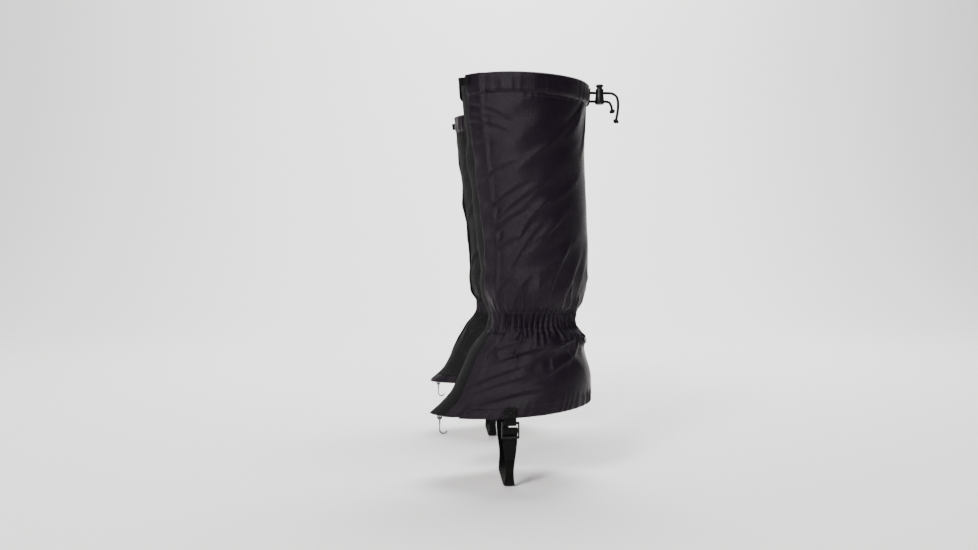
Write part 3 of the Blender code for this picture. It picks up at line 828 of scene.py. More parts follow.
# %% Cords
CORD_RADIUS = 0.0015
RUNNING_Z = LOCK_Z + 0.0128
ANCHOR_Z = LOCK_Z + 0.0032
STRAIGHT = ((0.0643, 0.0, 0.0), (0.0700, 0.0, 0.0), (0.0760, 0.0, 0.0), (0.0820, 0.0, 0.0))
RUNNING = STRAIGHT + (
    (0.0880, 0.0, 0.0),
    (0.0935, 0.0, -0.0006),
    (0.0980, 0.0004, -0.0042),
    (0.0995, 0.0010, -0.0110),
    (0.0990, 0.0016, -0.0200),
    (0.0972, 0.0020, -0.0300),
)
ANCHORED = STRAIGHT + (
    (0.0855, 0.0, 0.0),
    (0.0895, 0.0, -0.0010),
    (0.0920, -0.0003, -0.0048),
    (0.0928, -0.0006, -0.0090),
)
KNOT_SIZE, KNOT_DROP = 0.00125, 0.0018


def knot(name, centre, tilt):
    """A small overhand knot: a cord that follows a trefoil."""
    t = np.linspace(0, 2 * np.pi, 61)
    loops = np.stack((np.sin(t) + 2 * np.sin(2 * t), np.cos(t) - 2 * np.cos(2 * t), -np.sin(3 * t)))
    turned = np.array(Vector(tilt).to_track_quat("Z", "Y").to_matrix())
    spots = (loops.T * (0.62, 0.62, 0.85)) @ turned.T
    return piece(name, CORD, tube(np.array(centre) + spots * KNOT_SIZE, CORD_RADIUS * 0.82, 12))


STRANDS = (("tail", "running", RUNNING, RUNNING_Z), ("anchor", "fixed", ANCHORED, ANCHOR_Z))
cords = {}
for label, side in SIDES:
    strands = []
    for node, cord_name, route, level_z in STRANDS:
        world = [(x, side * (HALF_SPACING + out), level_z + up) for x, out, up in route]
        line = smooth_line(world, 0.0006)
        strands.append((node, piece(f"{label}_{cord_name}_cord", CORD, tube(line, CORD_RADIUS)), line))
    cords[label] = []
    for node, strand, line in strands:
        down = line[-1] - line[-4]
        spot = line[-1] + down / np.linalg.norm(down) * KNOT_DROP
        cords[label].append((node, strand, line, knot(strand.name + "_knot", spot, down)))
        print(strand.name, round(line_length(line), 4), "m")

# %% [markdown]
# The cord lock is a barrel with a sprung plunger. The barrel's two bores run across it, one for each
# strand, so they are cut out with a Boolean. The spring is a coil of three turns that the plunger
# sits on. It rides on no body, so a press does not squeeze it.

# %% Cord lock
LOCK_HOLE, BORE_REACH = 0.0019, 0.008
SLOT_Z, SLOT_STRETCH = LOCK_Z + 0.0139, 0.0011
COIL_RADIUS, COIL_HEIGHT, COIL_WIRE = 0.0024, 0.0031, 0.00033
COIL_FOOT = LOCK_Z + 0.0063


def cut(obj, *cutters):
    """The object less its cutters, which are removed."""
    for cutter in cutters:
        modifier = obj.modifiers.new("cut", "BOOLEAN")
        modifier.operation = "DIFFERENCE"
        modifier.object = cutter
        modifier.solver = "EXACT"
    as_mesh(obj)
    for cutter in cutters:
        bpy.data.objects.remove(cutter)
    obj.data.set_sharp_from_angle(angle=math.radians(35))
    return obj


BARREL = rounded(
    ((0, 0), (0.0046, 0), (0.0052, 0.0012), (0.0051, 0.0064), (0.0045, 0.0118), (0.0045, 0.0172))
    + ((0.0034, 0.0172), (0.0034, 0.0056), (0, 0.0056)),
    0.0005,
)
PLUNGER = rounded(
    ((0, 0.0100), (0.0031, 0.0100), (0.0031, 0.0197), (0.0043, 0.0197), (0.0044, 0.0208))
    + ((0.0040, 0.0220), (0, 0.0223)),
    0.0004,
)
for label, side in SIDES:
    y = side * HALF_SPACING
    centre = (LOCK_X, y, LOCK_Z)
    barrel = piece(label + "_cord_lock_barrel", PLASTIC, lathe(centre, BARREL))
    axes = [
        np.linspace((LOCK_X - BORE_REACH, y, height), (LOCK_X + BORE_REACH, y, height), 3)
        for height in (ANCHOR_Z, RUNNING_Z, SLOT_Z)
    ]
    cut(barrel, *(piece("bore", PLASTIC, tube(axis, LOCK_HOLE, 28)) for axis in axes[:2]))
    fit(barrel, label + "_cord_lock", "black_plastic", label + "_cord_lock_body")
    plunger = piece(label + "_cord_lock_button", PLASTIC, lathe(centre, PLUNGER))
    turn = np.linspace(0.05, 2 * math.pi + 0.05, 28, endpoint=False)
    oval = np.stack((LOCK_HOLE * np.cos(turn), LOCK_HOLE * np.sin(turn)), -1)
    oval[:, 1] += SLOT_STRETCH * np.sign(np.sin(turn))
    cut(plunger, piece("slot", PLASTIC, swept(axes[2], (0, 1, 0), oval)))
    fit(plunger, label + "_plunger", "black_plastic", label + "_cord_lock_plunger")
    turn = np.linspace(0, 6 * np.pi, 91)
    coil = np.stack((np.cos(turn) * COIL_RADIUS, np.sin(turn) * COIL_RADIUS, turn), -1)
    coil[:, 2] *= COIL_HEIGHT / turn[-1]
    coil += (LOCK_X, y, COIL_FOOT)
    spring = piece(label + "_cord_lock_coil", STEEL, tube(coil, COIL_WIRE, 8))
    ends = ((LOCK_X, y, COIL_FOOT + rise) for rise in (-0.0001, COIL_HEIGHT - 0.0001))
    bodies = (label + "_cord_lock", label + "_plunger")
    bend(spring, "steel", label + "_cord_lock_spring", bodies, *ends)
    for node, strand, line, end_knot in cords[label]:
        fit(strand, label + "_gaiter", "cord", f"{label}_cord_{node}")
        fit(end_knot, label + "_gaiter", "cord")

# %% [markdown]
# The fabric shell is cut as a real one is: an outer and an inner shin panel above the ankle band, an
# outer and an inner boot panel below it, joined by a seam at the back. The drawcord channel closes
# the top and a narrow channel closes the bottom. Creases come from the same function everywhere, so
# a fold that meets a seam goes on at its other side.

# %% Cloth of the sleeve
STEP = 0.75
OUTER_FRONT, BACK_SEAM, INNER_FRONT = 49.2, 179.8, 354.8
FLAP_HINGE = 50.0
CLOTH = 0.0009
FACE = 0.0010
SEEDS = {"left": 3, "right": 57}
HINGE_LIFT = 0.0014


def angles(start, end, step=STEP):
    return np.linspace(start, end, int(round(abs(end - start) / step)) + 1)


def ramp(value, low, high):
    t = np.clip((value - low) / (high - low), 0.0, 1.0)
    return t * t * (3 - 2 * t)


def hinge_tuck(degrees):
    """How far the sleeve's front edge dips under the flap."""
    return 0.0018 * ramp(FLAP_HINGE - 0.1 - degrees, 0.0, 0.6)


def hinge_lift(degrees):
    """The sleeve rises to meet the flap at its hinge, and tucks under its edge."""
    return HINGE_LIFT * fade((degrees - FLAP_HINGE) * 0.001, 0.010) - hinge_tuck(degrees)


def spread(low, high, rows):
    """Heights from low to high in each angle's row."""
    low = np.asarray(low, float)[:, None]
    return low + (np.reshape(high, (-1, 1)) - low) * np.linspace(0, 1, rows)[None]


def cloth_offset(degrees, z, seed):
    """The centre of the cloth's thickness, off the smooth skin."""
    seam = fade((degrees - 180.0) * 0.001, 0.0016) * 0.0007
    groove = fade((np.abs(degrees - 180.0) - 3.2) * 0.001, 0.0006) * 0.0004
    edge = fade(z - ANKLE_HIGH - 0.0035, 0.0012) + fade(z - ANKLE_LOW + 0.0035, 0.0012)
    edge = edge + fade(z - hem_low(degrees) + 0.0030, 0.0012) * 0.8
    return FACE + creases(degrees, z, seed) + seam - groove + hinge_lift(degrees) - edge * 0.0004


def panel(side, seed, start, end, low, high, row=0.0015):
    degrees = angles(start, end)
    low, high = low(degrees), high(degrees)
    height = spread(low, high, int(round((high - low).max() / row)) + 1)
    return wrap(side, degrees, cloth_offset(degrees[:, None], height, seed), height, CLOTH)


def level(value):
    return lambda degrees: np.full(len(degrees), value)


def cut_size(start, end, low, high, ease):
    """Flat width, length and area of a panel, from the arc of the smooth skin and its ease."""
    degrees = angles(start, end, 3.0)
    heights = np.linspace(low, high, 12)
    widths = [line_length(skin(degrees, height)) * ease for height in heights]
    length = (high - low) * 1.03
    return (max(widths), length), float(np.mean(widths)) * length


EASE = 1.12
HEM_TOP = 0.088
HALVES = (("outer", OUTER, OUTER_FRONT, BACK_SEAM), ("inner", INNER, 180.2, INNER_FRONT))
LEVELS = (
    ("shin", level(ANKLE_HIGH), lambda d: hem_low(d) + 0.0005, ANKLE_HIGH, RIM_Z - HEM_HEIGHT),
    ("boot", lambda d: bottom(d) + BOTTOM_HEM, level(ANKLE_LOW), HEM_TOP, ANKLE_LOW),
)
for label, side in SIDES:
    for half, material, start, end in HALVES:
        for part, low, high, flat_low, flat_high in LEVELS:
            shape = panel(side, SEEDS[label], start, end, low, high)
            cloth = piece(f"{label}_{half}_{part}_cloth", material, shape)
            fit(cloth, label + "_gaiter", half + "_fabric", f"{label}_{half}_{part}_panel")
            flat, area = cut_size(start, end, flat_low, flat_high, EASE)
            print(cloth.name, [round(v, 3) for v in flat], round(area, 4))

# %% [markdown]
# Three bands hold the sleeve. The top hem is cloth folded over the rim as a channel for the drawcord.
# The ankle band is a channel for a flat elastic, which gathers it deeply. The bottom hem holds a
# shorter elastic at the heel. Each channel is a thin wall with its elastic or cord really inside.

# %% Hems and bands
HEM_OUT, HEM_IN = 0.0031, -0.0018
BAND_PUFF = 0.0008
BAND_END = 353.0


def hem_line(degrees, seed):
    """Centre line of the folded top hem: up the outside, over the rim, down the inside."""
    degrees = degrees[:, None]
    top, low = rim(degrees), hem_low(degrees)
    t = np.linspace(0, 1, 14)[None]
    turn = np.linspace(0, np.pi, 9)[None, 1:]
    middle, half = (HEM_OUT + HEM_IN) / 2, (HEM_OUT - HEM_IN) / 2
    rise = low + (top - half - low) * t
    swell = np.abs(np.sin(np.pi * t)) ** 0.7
    calm = 0.1 + 0.9 * ramp(degrees, FLAP_HINGE, FLAP_HINGE + 9.0)
    wave = gathers(degrees, rise * 0.4, 36, seed + 3) * 0.0007
    slack = lattice_noise(degrees / 14.0, rise * 70.0, seed + 4) * 0.0011
    lip = 1.0 - 0.62 * fade(t, 0.1)
    ripple = wave * (0.35 + 0.5 * (1 - t)) + slack * swell
    outside = HEM_OUT * lip + ripple * calm - hinge_tuck(degrees)
    over_off = middle + half * np.cos(turn) + (outside[:, -1:] - HEM_OUT) * (1 + np.cos(turn)) / 2
    over_up = top - half + half * np.sin(turn)
    down = top - half - (top - half - low) * t[:, 1:]
    inside = np.full(down.shape, HEM_IN)
    return np.concatenate((outside, over_off, inside), 1), np.concatenate((rise, over_up, down), 1)


def ankle_walls(degrees, seed):
    """Offsets of the ankle channel's outer and inner wall, and their height."""
    height = spread(np.full(len(degrees), ANKLE_LOW), ANKLE_HIGH, 15)
    degrees = degrees[:, None]
    puff = np.abs(np.sin(np.pi * np.linspace(0, 1, 15))) ** 0.5
    tuck = ankle_gathers(degrees, height, seed)
    outside = FACE + BAND_PUFF * puff + tuck * (0.0012 + 0.0003 * puff) + hinge_lift(degrees)
    return outside, -0.0009 - 0.0010 * puff - tuck * 0.0003, height


def bottom_line(degrees, seed):
    """Centre line of the folded bottom hem: down the inside, under the edge, up the outside."""
    degrees = degrees[:, None]
    low, half = bottom(degrees), 0.0013
    turn = np.linspace(0, np.pi, 7)[None, :-1]
    t = np.linspace(0, 1, 9)[None]
    heel = fade((degrees - 180.0) * 0.01, 0.75)
    wave = hem_gathers(degrees, low, seed) * 0.0006 * (0.5 + heel)
    rise = low + half + (BOTTOM_HEM - half) * t
    over_off = -half * np.cos(turn) + wave * (1 - np.cos(turn)) / 2
    over_up = low + half - half * np.sin(turn)
    down = low + BOTTOM_HEM - (BOTTOM_HEM - half) * t[:, :-1]
    outside = half + wave + hinge_lift(degrees) * t**0.5
    inside = np.full(down.shape, -half)
    return np.concatenate((inside, over_off, outside), 1), np.concatenate((down, over_up, rise), 1)


for label, side in SIDES:
    seed, body = SEEDS[label], label + "_gaiter"
    degrees = angles(OUTER_FRONT, BAND_END)
    hem = piece(label + "_top_channel", OUTER, wrap(side, degrees, *hem_line(degrees, seed), 0.0008))
    fit(hem, body, "outer_fabric", label + "_top_hem")
    inside_line = place(side, skin(angles(52, 352, 2.0), rim(angles(52, 352, 2.0)) - 0.014, 0.0006))
    drawcord = piece(label + "_hem_cord", CORD, tube(inside_line, CORD_RADIUS * 0.85, 10))
    fit(drawcord, body, "cord", label + "_drawcord")

    *walls, height = ankle_walls(degrees, seed)
    walls = [wrap(side, degrees, wall, height, 0.0007) for wall in walls]
    fit(piece(label + "_ankle_band", OUTER, *walls), body, "outer_fabric", label + "_ankle_casing")
    height = spread(np.full(len(degrees), 0.1745), 0.1845, 5)
    ripple = ankle_gathers(degrees[:, None], height, seed) * 0.0002
    elastic = piece(label + "_ankle_band_elastic", ELASTIC, wrap(side, degrees, ripple, height, 0.0008))
    fit(elastic, body, "elastic", label + "_ankle_elastic")

    low_hem = wrap(side, degrees, *bottom_line(degrees, seed), 0.0007)
    low_hem = piece(label + "_bottom_channel", OUTER, low_hem)
    fit(low_hem, body, "outer_fabric", label + "_bottom_hem")
    degrees = angles(92, 268)
    height = spread(bottom(degrees) + 0.0030, bottom(degrees) + 0.0085, 5)
    ripple = hem_gathers(degrees[:, None], height, seed) * 0.0003
    elastic = piece(label + "_heel_band_elastic", ELASTIC, wrap(side, degrees, ripple, height, 0.0007))
    fit(elastic, body, "elastic", label + "_heel_elastic")

# %% [markdown]
# The sleeve opens down the front. A broad loop strip is sewn to the inner panel's edge, and a flap
# that carries the hook strip closes over it. The flap is hinged where it leaves the outer panel. It
# has two parts, one above the ankle and one below, since the front line bends there. Each part is
# the same cloth as the panel, so it takes the same creases, but damped by the stiff tape behind it.

# %% Front closure
SHIN_FLAP_EDGE, INSTEP_FLAP_EDGE = 27.0, 34.0
FLAP_OUT = 0.0044
LOOP_THICK = 0.0016


def front_wave(degrees, z, seed):
    """How the front edge of the sleeve ripples, strongest at the loop strip's free edge."""
    ripple = lattice_noise(z * 34.0, 0.5, seed + 33) * 0.0026
    ripple = ripple + lattice_noise(z * 90.0, 7.5, seed + 34) * 0.0010
    return (ripple + 0.0006) * fade((degrees + 4.4) * 0.001, 0.019)


def flap_offset(degrees, z, edge, seed):
    lift = ramp(FLAP_HINGE - degrees, 0.0, 6.0)
    calm = np.maximum(creases(degrees, z, seed) * (1 - 0.35 * lift), -0.0006 - 0.003 * (1 - lift))
    lip = fade((degrees - edge) * 0.001, 0.006)
    wave = lattice_noise(z * 85.0, 0.5, seed + 71) * 0.0012 + lattice_noise(z * 32.0, 3.5, seed) * 0.0014
    band = np.clip((z - ANKLE_LOW) / (ANKLE_HIGH - ANKLE_LOW), 0.0, 1.0)
    band = np.sin(np.pi * band) ** 0.5 * BAND_PUFF
    channel = ramp(z, hem_low(degrees) - 0.0006, hem_low(degrees) + 0.0016) * 0.0007
    line = fade(z - ANKLE_HIGH - 0.0022, 0.0010) + fade(z - ANKLE_LOW + 0.0022, 0.0010)
    line = line + fade(z - hem_low(degrees) + 0.0006, 0.0010)
    base = FACE + HINGE_LIFT + (FLAP_OUT - FACE - HINGE_LIFT) * lift
    follow = front_wave(degrees, z, seed)
    return base + calm + band + channel + follow - line * 0.0004 + lip * (wave + 0.0006)


def flap_span(part, degrees, low, high):
    """The upper part runs from low up to the rim, the lower part from the hem up to high."""
    if part == "upper":
        return np.full(len(degrees), low), rim(degrees) - 0.0002
    return bottom(degrees) + 0.0015, np.full(len(degrees), high)


FLAP_PARTS = (("upper", SHIN_FLAP_EDGE), ("lower", INSTEP_FLAP_EDGE))
FLAP_GAP = (0.1662, 0.1654)
FLAP_EASE = 1.08
for label, side in SIDES:
    seed = SEEDS[label]
    for part, edge in FLAP_PARTS:
        node_low, node_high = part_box(f"{label}_loop_strip_{part}")
        degrees = angles(-4.4, 46.0, 1.0)
        low, high = flap_span(part, degrees, node_low.z, node_high.z)
        height = spread(low, high, int((high - low).max() / 0.003))
        strip_face = LOOP_THICK / 2 + 0.0001 + front_wave(degrees[:, None], height, seed)
        strip = wrap(side, degrees, strip_face, height, LOOP_THICK)
        strip = piece(f"{label}_loop_tape_{part}", LOOP, strip)
        fit(strip, label + "_gaiter", "closure_tape", f"{label}_loop_strip_{part}")

        body = f"{label}_flap_{part}"
        degrees = angles(edge, FLAP_HINGE)
        low, high = flap_span(part, degrees, *FLAP_GAP)
        height = spread(low, high, int((high - low).max() / 0.0015))
        cloth = wrap(side, degrees, flap_offset(degrees[:, None], height, edge, seed), height, CLOTH)
        flap = piece(f"{label}_flap_cloth_{part}", OUTER, cloth)
        fit(flap, body, "outer_fabric", body)
        flat, area = cut_size(edge, FLAP_HINGE, float(low.mean()), float(high.mean()), FLAP_EASE)

        hook_low, hook_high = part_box(f"{label}_hook_strip_{part}")
        degrees = angles(edge + 2.5, 43.5, 1.0)
        low = np.full(len(degrees), hook_low.z) if part == "upper" else bottom(degrees) + 0.0060
        height = spread(low, hook_high.z - 0.002, 60)
        under = flap_offset(degrees[:, None], height, edge, seed) - CLOTH / 2 - 0.0006
        hooks = piece(f"{label}_hook_tape_{part}", HOOKS, wrap(side, degrees, under, height, 0.0010))
        fit(hooks, body, "closure_tape", f"{label}_hook_strip_{part}")

    tab_low, tab_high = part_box(label + "_flap_pull_tab")
    middle_z = (tab_low.z + tab_high.z) / 2
    root = place(side, skin(SHIN_FLAP_EDGE + 6, middle_z, FLAP_OUT + 0.0022))
    edge_spot = place(side, skin(SHIN_FLAP_EDGE - 1, middle_z, FLAP_OUT + 0.0022))
    tip = Vector((tab_low.x + 0.001, edge_spot[1] - side * 0.001, middle_z))
    line = [root, edge_spot, (0.5 * (edge_spot[0] + tip.x), edge_spot[1] - side * 0.0002, middle_z)]
    line += [(tip.x, tip.y, middle_z - 0.0004)]
    line = smooth_line(line, 0.001)
    pull = piece(label + "_pull_tab", WEBBING, ribbon(line, (0, 0, 1), tab_high.z - tab_low.z, 0.0016))
    fit(pull, label + "_flap_upper", "webbing", label + "_flap_pull_tab")

# %% [markdown]
# A strap under the boot's arch keeps the gaiter down. On the outer side a short tab, looped round the
# top bar, holds a ladder-lock buckle. The strap's end passes up behind the buckle, over its middle
# bar and down its front, so a pull on the free end tightens it. On the inner side the strap is sewn
# to the hem. The arch strap and the buckle tab ride on no body, so they stay where they are made.

# %% Strap and buckle
PLATE = BUCKLE_OUT
BEHIND = PLATE - 0.0023
STRAP = 0.0014
UNDER = BEHIND - STRAP - 0.0003
STRAP_WIDTH = 0.015


def arc(centre, radius, first, last, count):
    turns = np.radians(np.linspace(first, last, count))
    return [(centre[0] + radius * math.cos(a), centre[1] + radius * math.sin(a)) for a in turns]


def across_line(side, x, path, step=0.0008):
    """World points from a path of (out, z) at one x."""
    return smooth_line([place(side, (x, out, z)) for out, z in path], step)


for label, side in SIDES:
    seat_out = PLATE + 0.0002
    loop = arc((PLATE, BAR_Z), 0.0026, 75, -250, 15)
    tab_path = [(seat_out, BAR_Z + 0.0165), (seat_out, BAR_Z + 0.0110), (seat_out, BAR_Z + 0.0055)]
    tab = piece(
        label + "_buckle_tab",
        WEBBING,
        ribbon(across_line(side, STRAP_X, tab_path + loop), (1, 0, 0), 0.0125, 0.0011),
    )
    bodies = (label + "_gaiter", label + "_strap")
    ends = place(side, [(STRAP_X, PLATE, BAR_Z + rise) for rise in (0.0140, 0.0030)])
    bend(tab, "webbing", label + "_strap_tab", bodies, *ends)

    rails = [STRAP_X + x for x in (-0.0096, -0.0079, 0.0079, 0.0096)]
    levels = [BAR_Z - drop + edge for drop in (0.0155, 0.0080, 0.0) for edge in (-0.0013, 0.0013)]
    buckle_mesh = bmesh.new()
    corners = {}
    for i, x in enumerate(rails):
        for k, z in enumerate(levels):
            for face, out in enumerate((PLATE - 0.0013, PLATE + 0.0013)):
                corners[i, k, face] = buckle_mesh.verts.new(place(side, (x, out, z)))
    solid = {(i, k) for i in range(3) for k in range(5) if i != 1 or k % 2 == 0}
    for i, k in solid:
        ring = ((i, k), (i + 1, k), (i + 1, k + 1), (i, k + 1))
        buckle_mesh.faces.new([corners[a, b, 0] for a, b in ring])
        buckle_mesh.faces.new([corners[a, b, 1] for a, b in ring[::-1]])
        beside = ((i, k - 1), (i + 1, k), (i, k + 1), (i - 1, k))
        for (a, b), (c, d), neighbour in zip(ring, ring[1:] + ring[:1], beside):
            if neighbour not in solid:
                buckle_mesh.faces.new(
                    (corners[a, b, 0], corners[a, b, 1], corners[c, d, 1], corners[c, d, 0])
                )
    bmesh.ops.recalc_face_normals(buckle_mesh, faces=buckle_mesh.faces)
    mesh = bpy.data.meshes.new(label + "_ladder_lock")
    buckle_mesh.to_mesh(mesh)
    buckle_mesh.free()
    mesh.materials.append(PLASTIC)
    buckle = new_object(label + "_ladder_lock", mesh)
    soften = buckle.modifiers.new("soften", "BEVEL")
    soften.width = 0.0006
    soften.segments = 3
    soften.angle_limit = math.radians(40)
    as_mesh(buckle)
    buckle.data.shade_smooth()
    buckle.data.set_sharp_from_angle(angle=math.radians(40))
    fit(buckle, label + "_buckle", "black_plastic", label + "_ladder_buckle")

    end_path = [(UNDER, BAR_Z - 0.0185), (UNDER, BAR_Z - 0.0110), (UNDER + 0.0003, BAR_Z - 0.0070)]
    end_path += arc((PLATE, BAR_Z - 0.0080), 0.0028, 125, -35, 9)
    end_path += [(PLATE - 0.0004, BAR_Z - 0.0120), (BEHIND, BAR_Z - 0.0136)]
    end_path += [(BEHIND, BAR_Z - 0.0175), (BEHIND + 0.0006, BAR_Z - 0.0290)]
    end_path += [(BEHIND + 0.0012, BAR_Z - 0.0400)]
    end_line = across_line(side, STRAP_X, end_path)
    taper = 1.0 - 0.38 * ramp(np.arange(len(end_line)) / len(end_line), 0.60, 1.0)
    scale = np.stack((taper, np.ones(len(end_line))), -1)
    end = ribbon(end_line, (1, 0, 0), STRAP_WIDTH, STRAP, scale)
    end = piece(label + "_strap_tail", WEBBING, end)
    fit(end, label + "_buckle", "webbing", label + "_strap_end")

    sole = STRAP / 2
    path = [(UNDER, BAR_Z - 0.0189), (0.0495, 0.0450), (0.0482, 0.0330), (0.0455, 0.0195)]
    path += [(0.0425, 0.0085), (0.0385, 0.0028), (0.0320, 0.0009), (0.0240, sole), (0.0, sole)]
    path += [(-0.0240, sole), (-0.0320, 0.0009), (-0.0385, 0.0028), (-0.0425, 0.0085)]
    path += [(-0.0455, 0.0195), (-0.0485, 0.0400), (-0.0508, 0.0620), (-0.0525, 0.0740)]
    path += [(-0.0538, 0.0800), (-0.0542, 0.0880)]
    line = across_line(side, STRAP_X, path, 0.0015)
    fold = 1.0 - 0.42 * fade(line[:, 2] - 0.018, 0.020)
    scale = np.stack((fold, 1.0 + 1.1 * (1 - fold)), -1)
    strap = ribbon(line, (1, 0, 0), STRAP_WIDTH, STRAP, scale)
    strap = piece(label + "_arch_strap", WEBBING, strap)
    seam = place(side, [(STRAP_X, -0.052, height) for height in (0.0860, 0.0700)])
    bend(strap, "webbing", label + "_instep_strap", bodies, *seam)
    print(strap.name, round(line_length(line), 3), "m")

# %% [markdown]
# At the front tip a small steel hook catches the lowest cross of the laces. It is a wire frame on a
# folded tape, with a flat tongue that curls back into the hook.

# %% Lace hook
HOOK_X, HOOK_Z = -0.1020, 0.0700
WIRE = 0.0010
FRAME_LOW = HOOK_Z - 0.0068
for label, side in SIDES:
    y = side * HALF_SPACING
    loop = arc((HOOK_X, HOOK_Z), 0.0024, 60, -250, 12)
    path = [(-0.0890, 0.0880), (-0.0950, 0.0812), (-0.0992, 0.0760)] + loop
    line = smooth_line([(x, y, z) for x, z in path], 0.0008)
    tab = piece(label + "_hook_tab", WEBBING, ribbon(line, (0, 1, 0), 0.0110, 0.0011))
    fit(tab, label + "_gaiter", "webbing", label + "_lace_hook_tab")
    half = 0.0071
    ring = [(half, HOOK_Z), (half, FRAME_LOW), (-half, FRAME_LOW), (-half, HOOK_Z)]
    outline = rounded([(0.0, HOOK_Z), *ring, (0.0, HOOK_Z)], 0.0016, 6)
    frame_line = np.array([(HOOK_X, y + out, z) for out, z in outline])
    throat = arc((HOOK_X + 0.0042, FRAME_LOW - 0.0080), 0.0042, 180, 338, 14)
    tongue_line = smooth_line([(x, y, z) for x, z in [(HOOK_X, FRAME_LOW + 0.0004)] + throat], 0.0008)
    hook = piece(
        label + "_steel_hook",
        STEEL,
        tube(frame_line, WIRE, 12),
        ribbon(tongue_line, (0, 1, 0), 0.0060, 0.0015),
    )
    fit(hook, label + "_lace_hook", "steel", label + "_lace_hook")

# %% [markdown]
# A patch of stiff cloth faces the calf side of the hem where the two strands come out, so that they
# don't wear through it. Its corners are rounded by narrowing the band of cloth at both ends.

# %% Cord exit patch
for label, side in SIDES:
    patch_low, patch_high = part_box(label + "_cord_exit_patch")
    degrees = angles(173.2, 186.8, 0.4)
    middle_z = (patch_low.z + patch_high.z) / 2
    tall = (patch_high.z - patch_low.z) / 2
    beside = np.clip((np.abs(degrees - 180.0) - 5.2) / 1.6, 0, 1)
    reach = tall - 0.0016 * (1 - np.sqrt(1 - beside**2))
    height = middle_z + reach[:, None] * np.linspace(-1, 1, 14)[None]
    patch = piece(label + "_exit_patch", WEBBING, wrap(side, degrees, 0.0046, height, 0.0009))
    fit(patch, label + "_gaiter", "webbing", label + "_cord_exit_patch")

# %% [markdown]
# Stitches repeat along every seam, so Geometry Nodes places them. The tree takes curves, cuts them
# into equal steps and sets a short rounded thread on each one along the seam. Its inputs are the
# pitch, the thread's length and its thickness. The result is made a plain mesh, one for each body.

# %% Stitch tree
def stitch_tree(material):
    tree = bpy.data.node_groups.new("stitches", "GeometryNodeTree")
    face = tree.interface
    face.new_socket("Geometry", in_out="INPUT", socket_type="NodeSocketGeometry")
    for name, value in (("Pitch", 0.003), ("Thread length", 0.0021), ("Thread width", 0.0006)):
        socket = face.new_socket(name, in_out="INPUT", socket_type="NodeSocketFloat")
        socket.default_value = value
    seed_socket = face.new_socket("Seed", in_out="INPUT", socket_type="NodeSocketInt")
    seed_socket.default_value = 1
    face.new_socket("Geometry", in_out="OUTPUT", socket_type="NodeSocketGeometry")

    def add(kind, inputs=None, **settings):
        made = tree.nodes.new(kind)
        for name, value in settings.items():
            setattr(made, name, value)
        for key, value in (inputs or {}).items():
            if hasattr(value, "is_linked"):
                tree.links.new(value, made.inputs[key])
            else:
                made.inputs[key].default_value = value
        return made.outputs

    given = add("NodeGroupInput")
    step = {"Curve": given["Geometry"], "Length": given["Pitch"]}
    line = add("GeometryNodeCurveToPoints", step, mode="LENGTH")
    bead = add("GeometryNodeMeshIcoSphere", {"Radius": 0.5, "Subdivisions": 2})
    width = given["Thread width"]
    size = add("ShaderNodeCombineXYZ", {0: width, 1: width, 2: given["Thread length"]})
    wobble = {2: 0.9, 3: 1.1, "Seed": given["Seed"]}
    wobble = add("FunctionNodeRandomValue", wobble, data_type="FLOAT")
    scaled = add("ShaderNodeVectorMath", {0: size[0], "Scale": wobble[1]}, operation="SCALE")
    copies = {"Points": line["Points"], "Instance": bead["Mesh"]}
    copies.update(Rotation=line["Rotation"], Scale=scaled[0])
    copies = add("GeometryNodeInstanceOnPoints", copies)
    real = add("GeometryNodeRealizeInstances", {"Geometry": copies["Instances"]})
    smooth = add("GeometryNodeSetShadeSmooth", {"Geometry": real["Geometry"]})
    painted = {"Geometry": smooth["Geometry"], "Material": material}
    painted = add("GeometryNodeSetMaterial", painted)
    add("NodeGroupOutput", {"Geometry": painted["Geometry"]})
    return tree


STITCHES = stitch_tree(THREAD)
BLACK_STITCHES = stitch_tree(BLACK_THREAD)


def stitches(name, body, slot, tree, lines, seed, **inputs):
    """Threads along several lines of world points, as one mesh that rides on a body."""
    curve = bpy.data.curves.new(name, "CURVE")
    curve.dimensions = "3D"
    for line in lines:
        spline = curve.splines.new("POLY")
        spline.points.add(len(line) - 1)
        spline.points.foreach_set("co", np.c_[line, np.ones(len(line))].astype(np.float32).ravel())
    helper = new_object(name + "_lines", curve)
    modifier = helper.modifiers.new("stitches", "NODES")
    modifier.node_group = tree
    for item in tree.interface.items_tree:
        if item.in_out == "INPUT" and item.name in inputs:
            modifier[item.identifier] = inputs[item.name]
        if item.in_out == "INPUT" and item.name == "Seed":
            modifier[item.identifier] = seed
    mesh = final_mesh(helper)
    bpy.data.objects.remove(helper)
    print(name, len(lines), "lines", len(mesh.polygons), "faces")
    return fit(new_object(name, mesh), body, slot)


# %% [markdown]
# A seam's stitches lie on the finished cloth, so their lines take the same offset as the cloth. The
# sleeve has rows above and below the ankle band, along both hems and at each side of the back seam.
# The flap has a row down its free edge, and each webbing tab has a sewn box with a cross.

# %% Stitch lines
def on_cloth(side, seed, degrees, z):
    return place(side, skin(degrees, z, cloth_offset(degrees, z, seed) + CLOTH / 2))


def on_flap(side, seed, edge, degrees, z):
    return place(side, skin(degrees, z, flap_offset(degrees, z, edge, seed) + CLOTH / 2))


def box_lines(corner, along, up, width, tall):
    """A sewn rectangle with its diagonals, from one corner."""
    a = np.asarray(corner, float)
    b, c, d = a + along * width, a + along * width + up * tall, a + up * tall
    return [np.linspace(p, q, 12) for p, q in ((a, b), (b, c), (c, d), (d, a), (a, c), (b, d))]


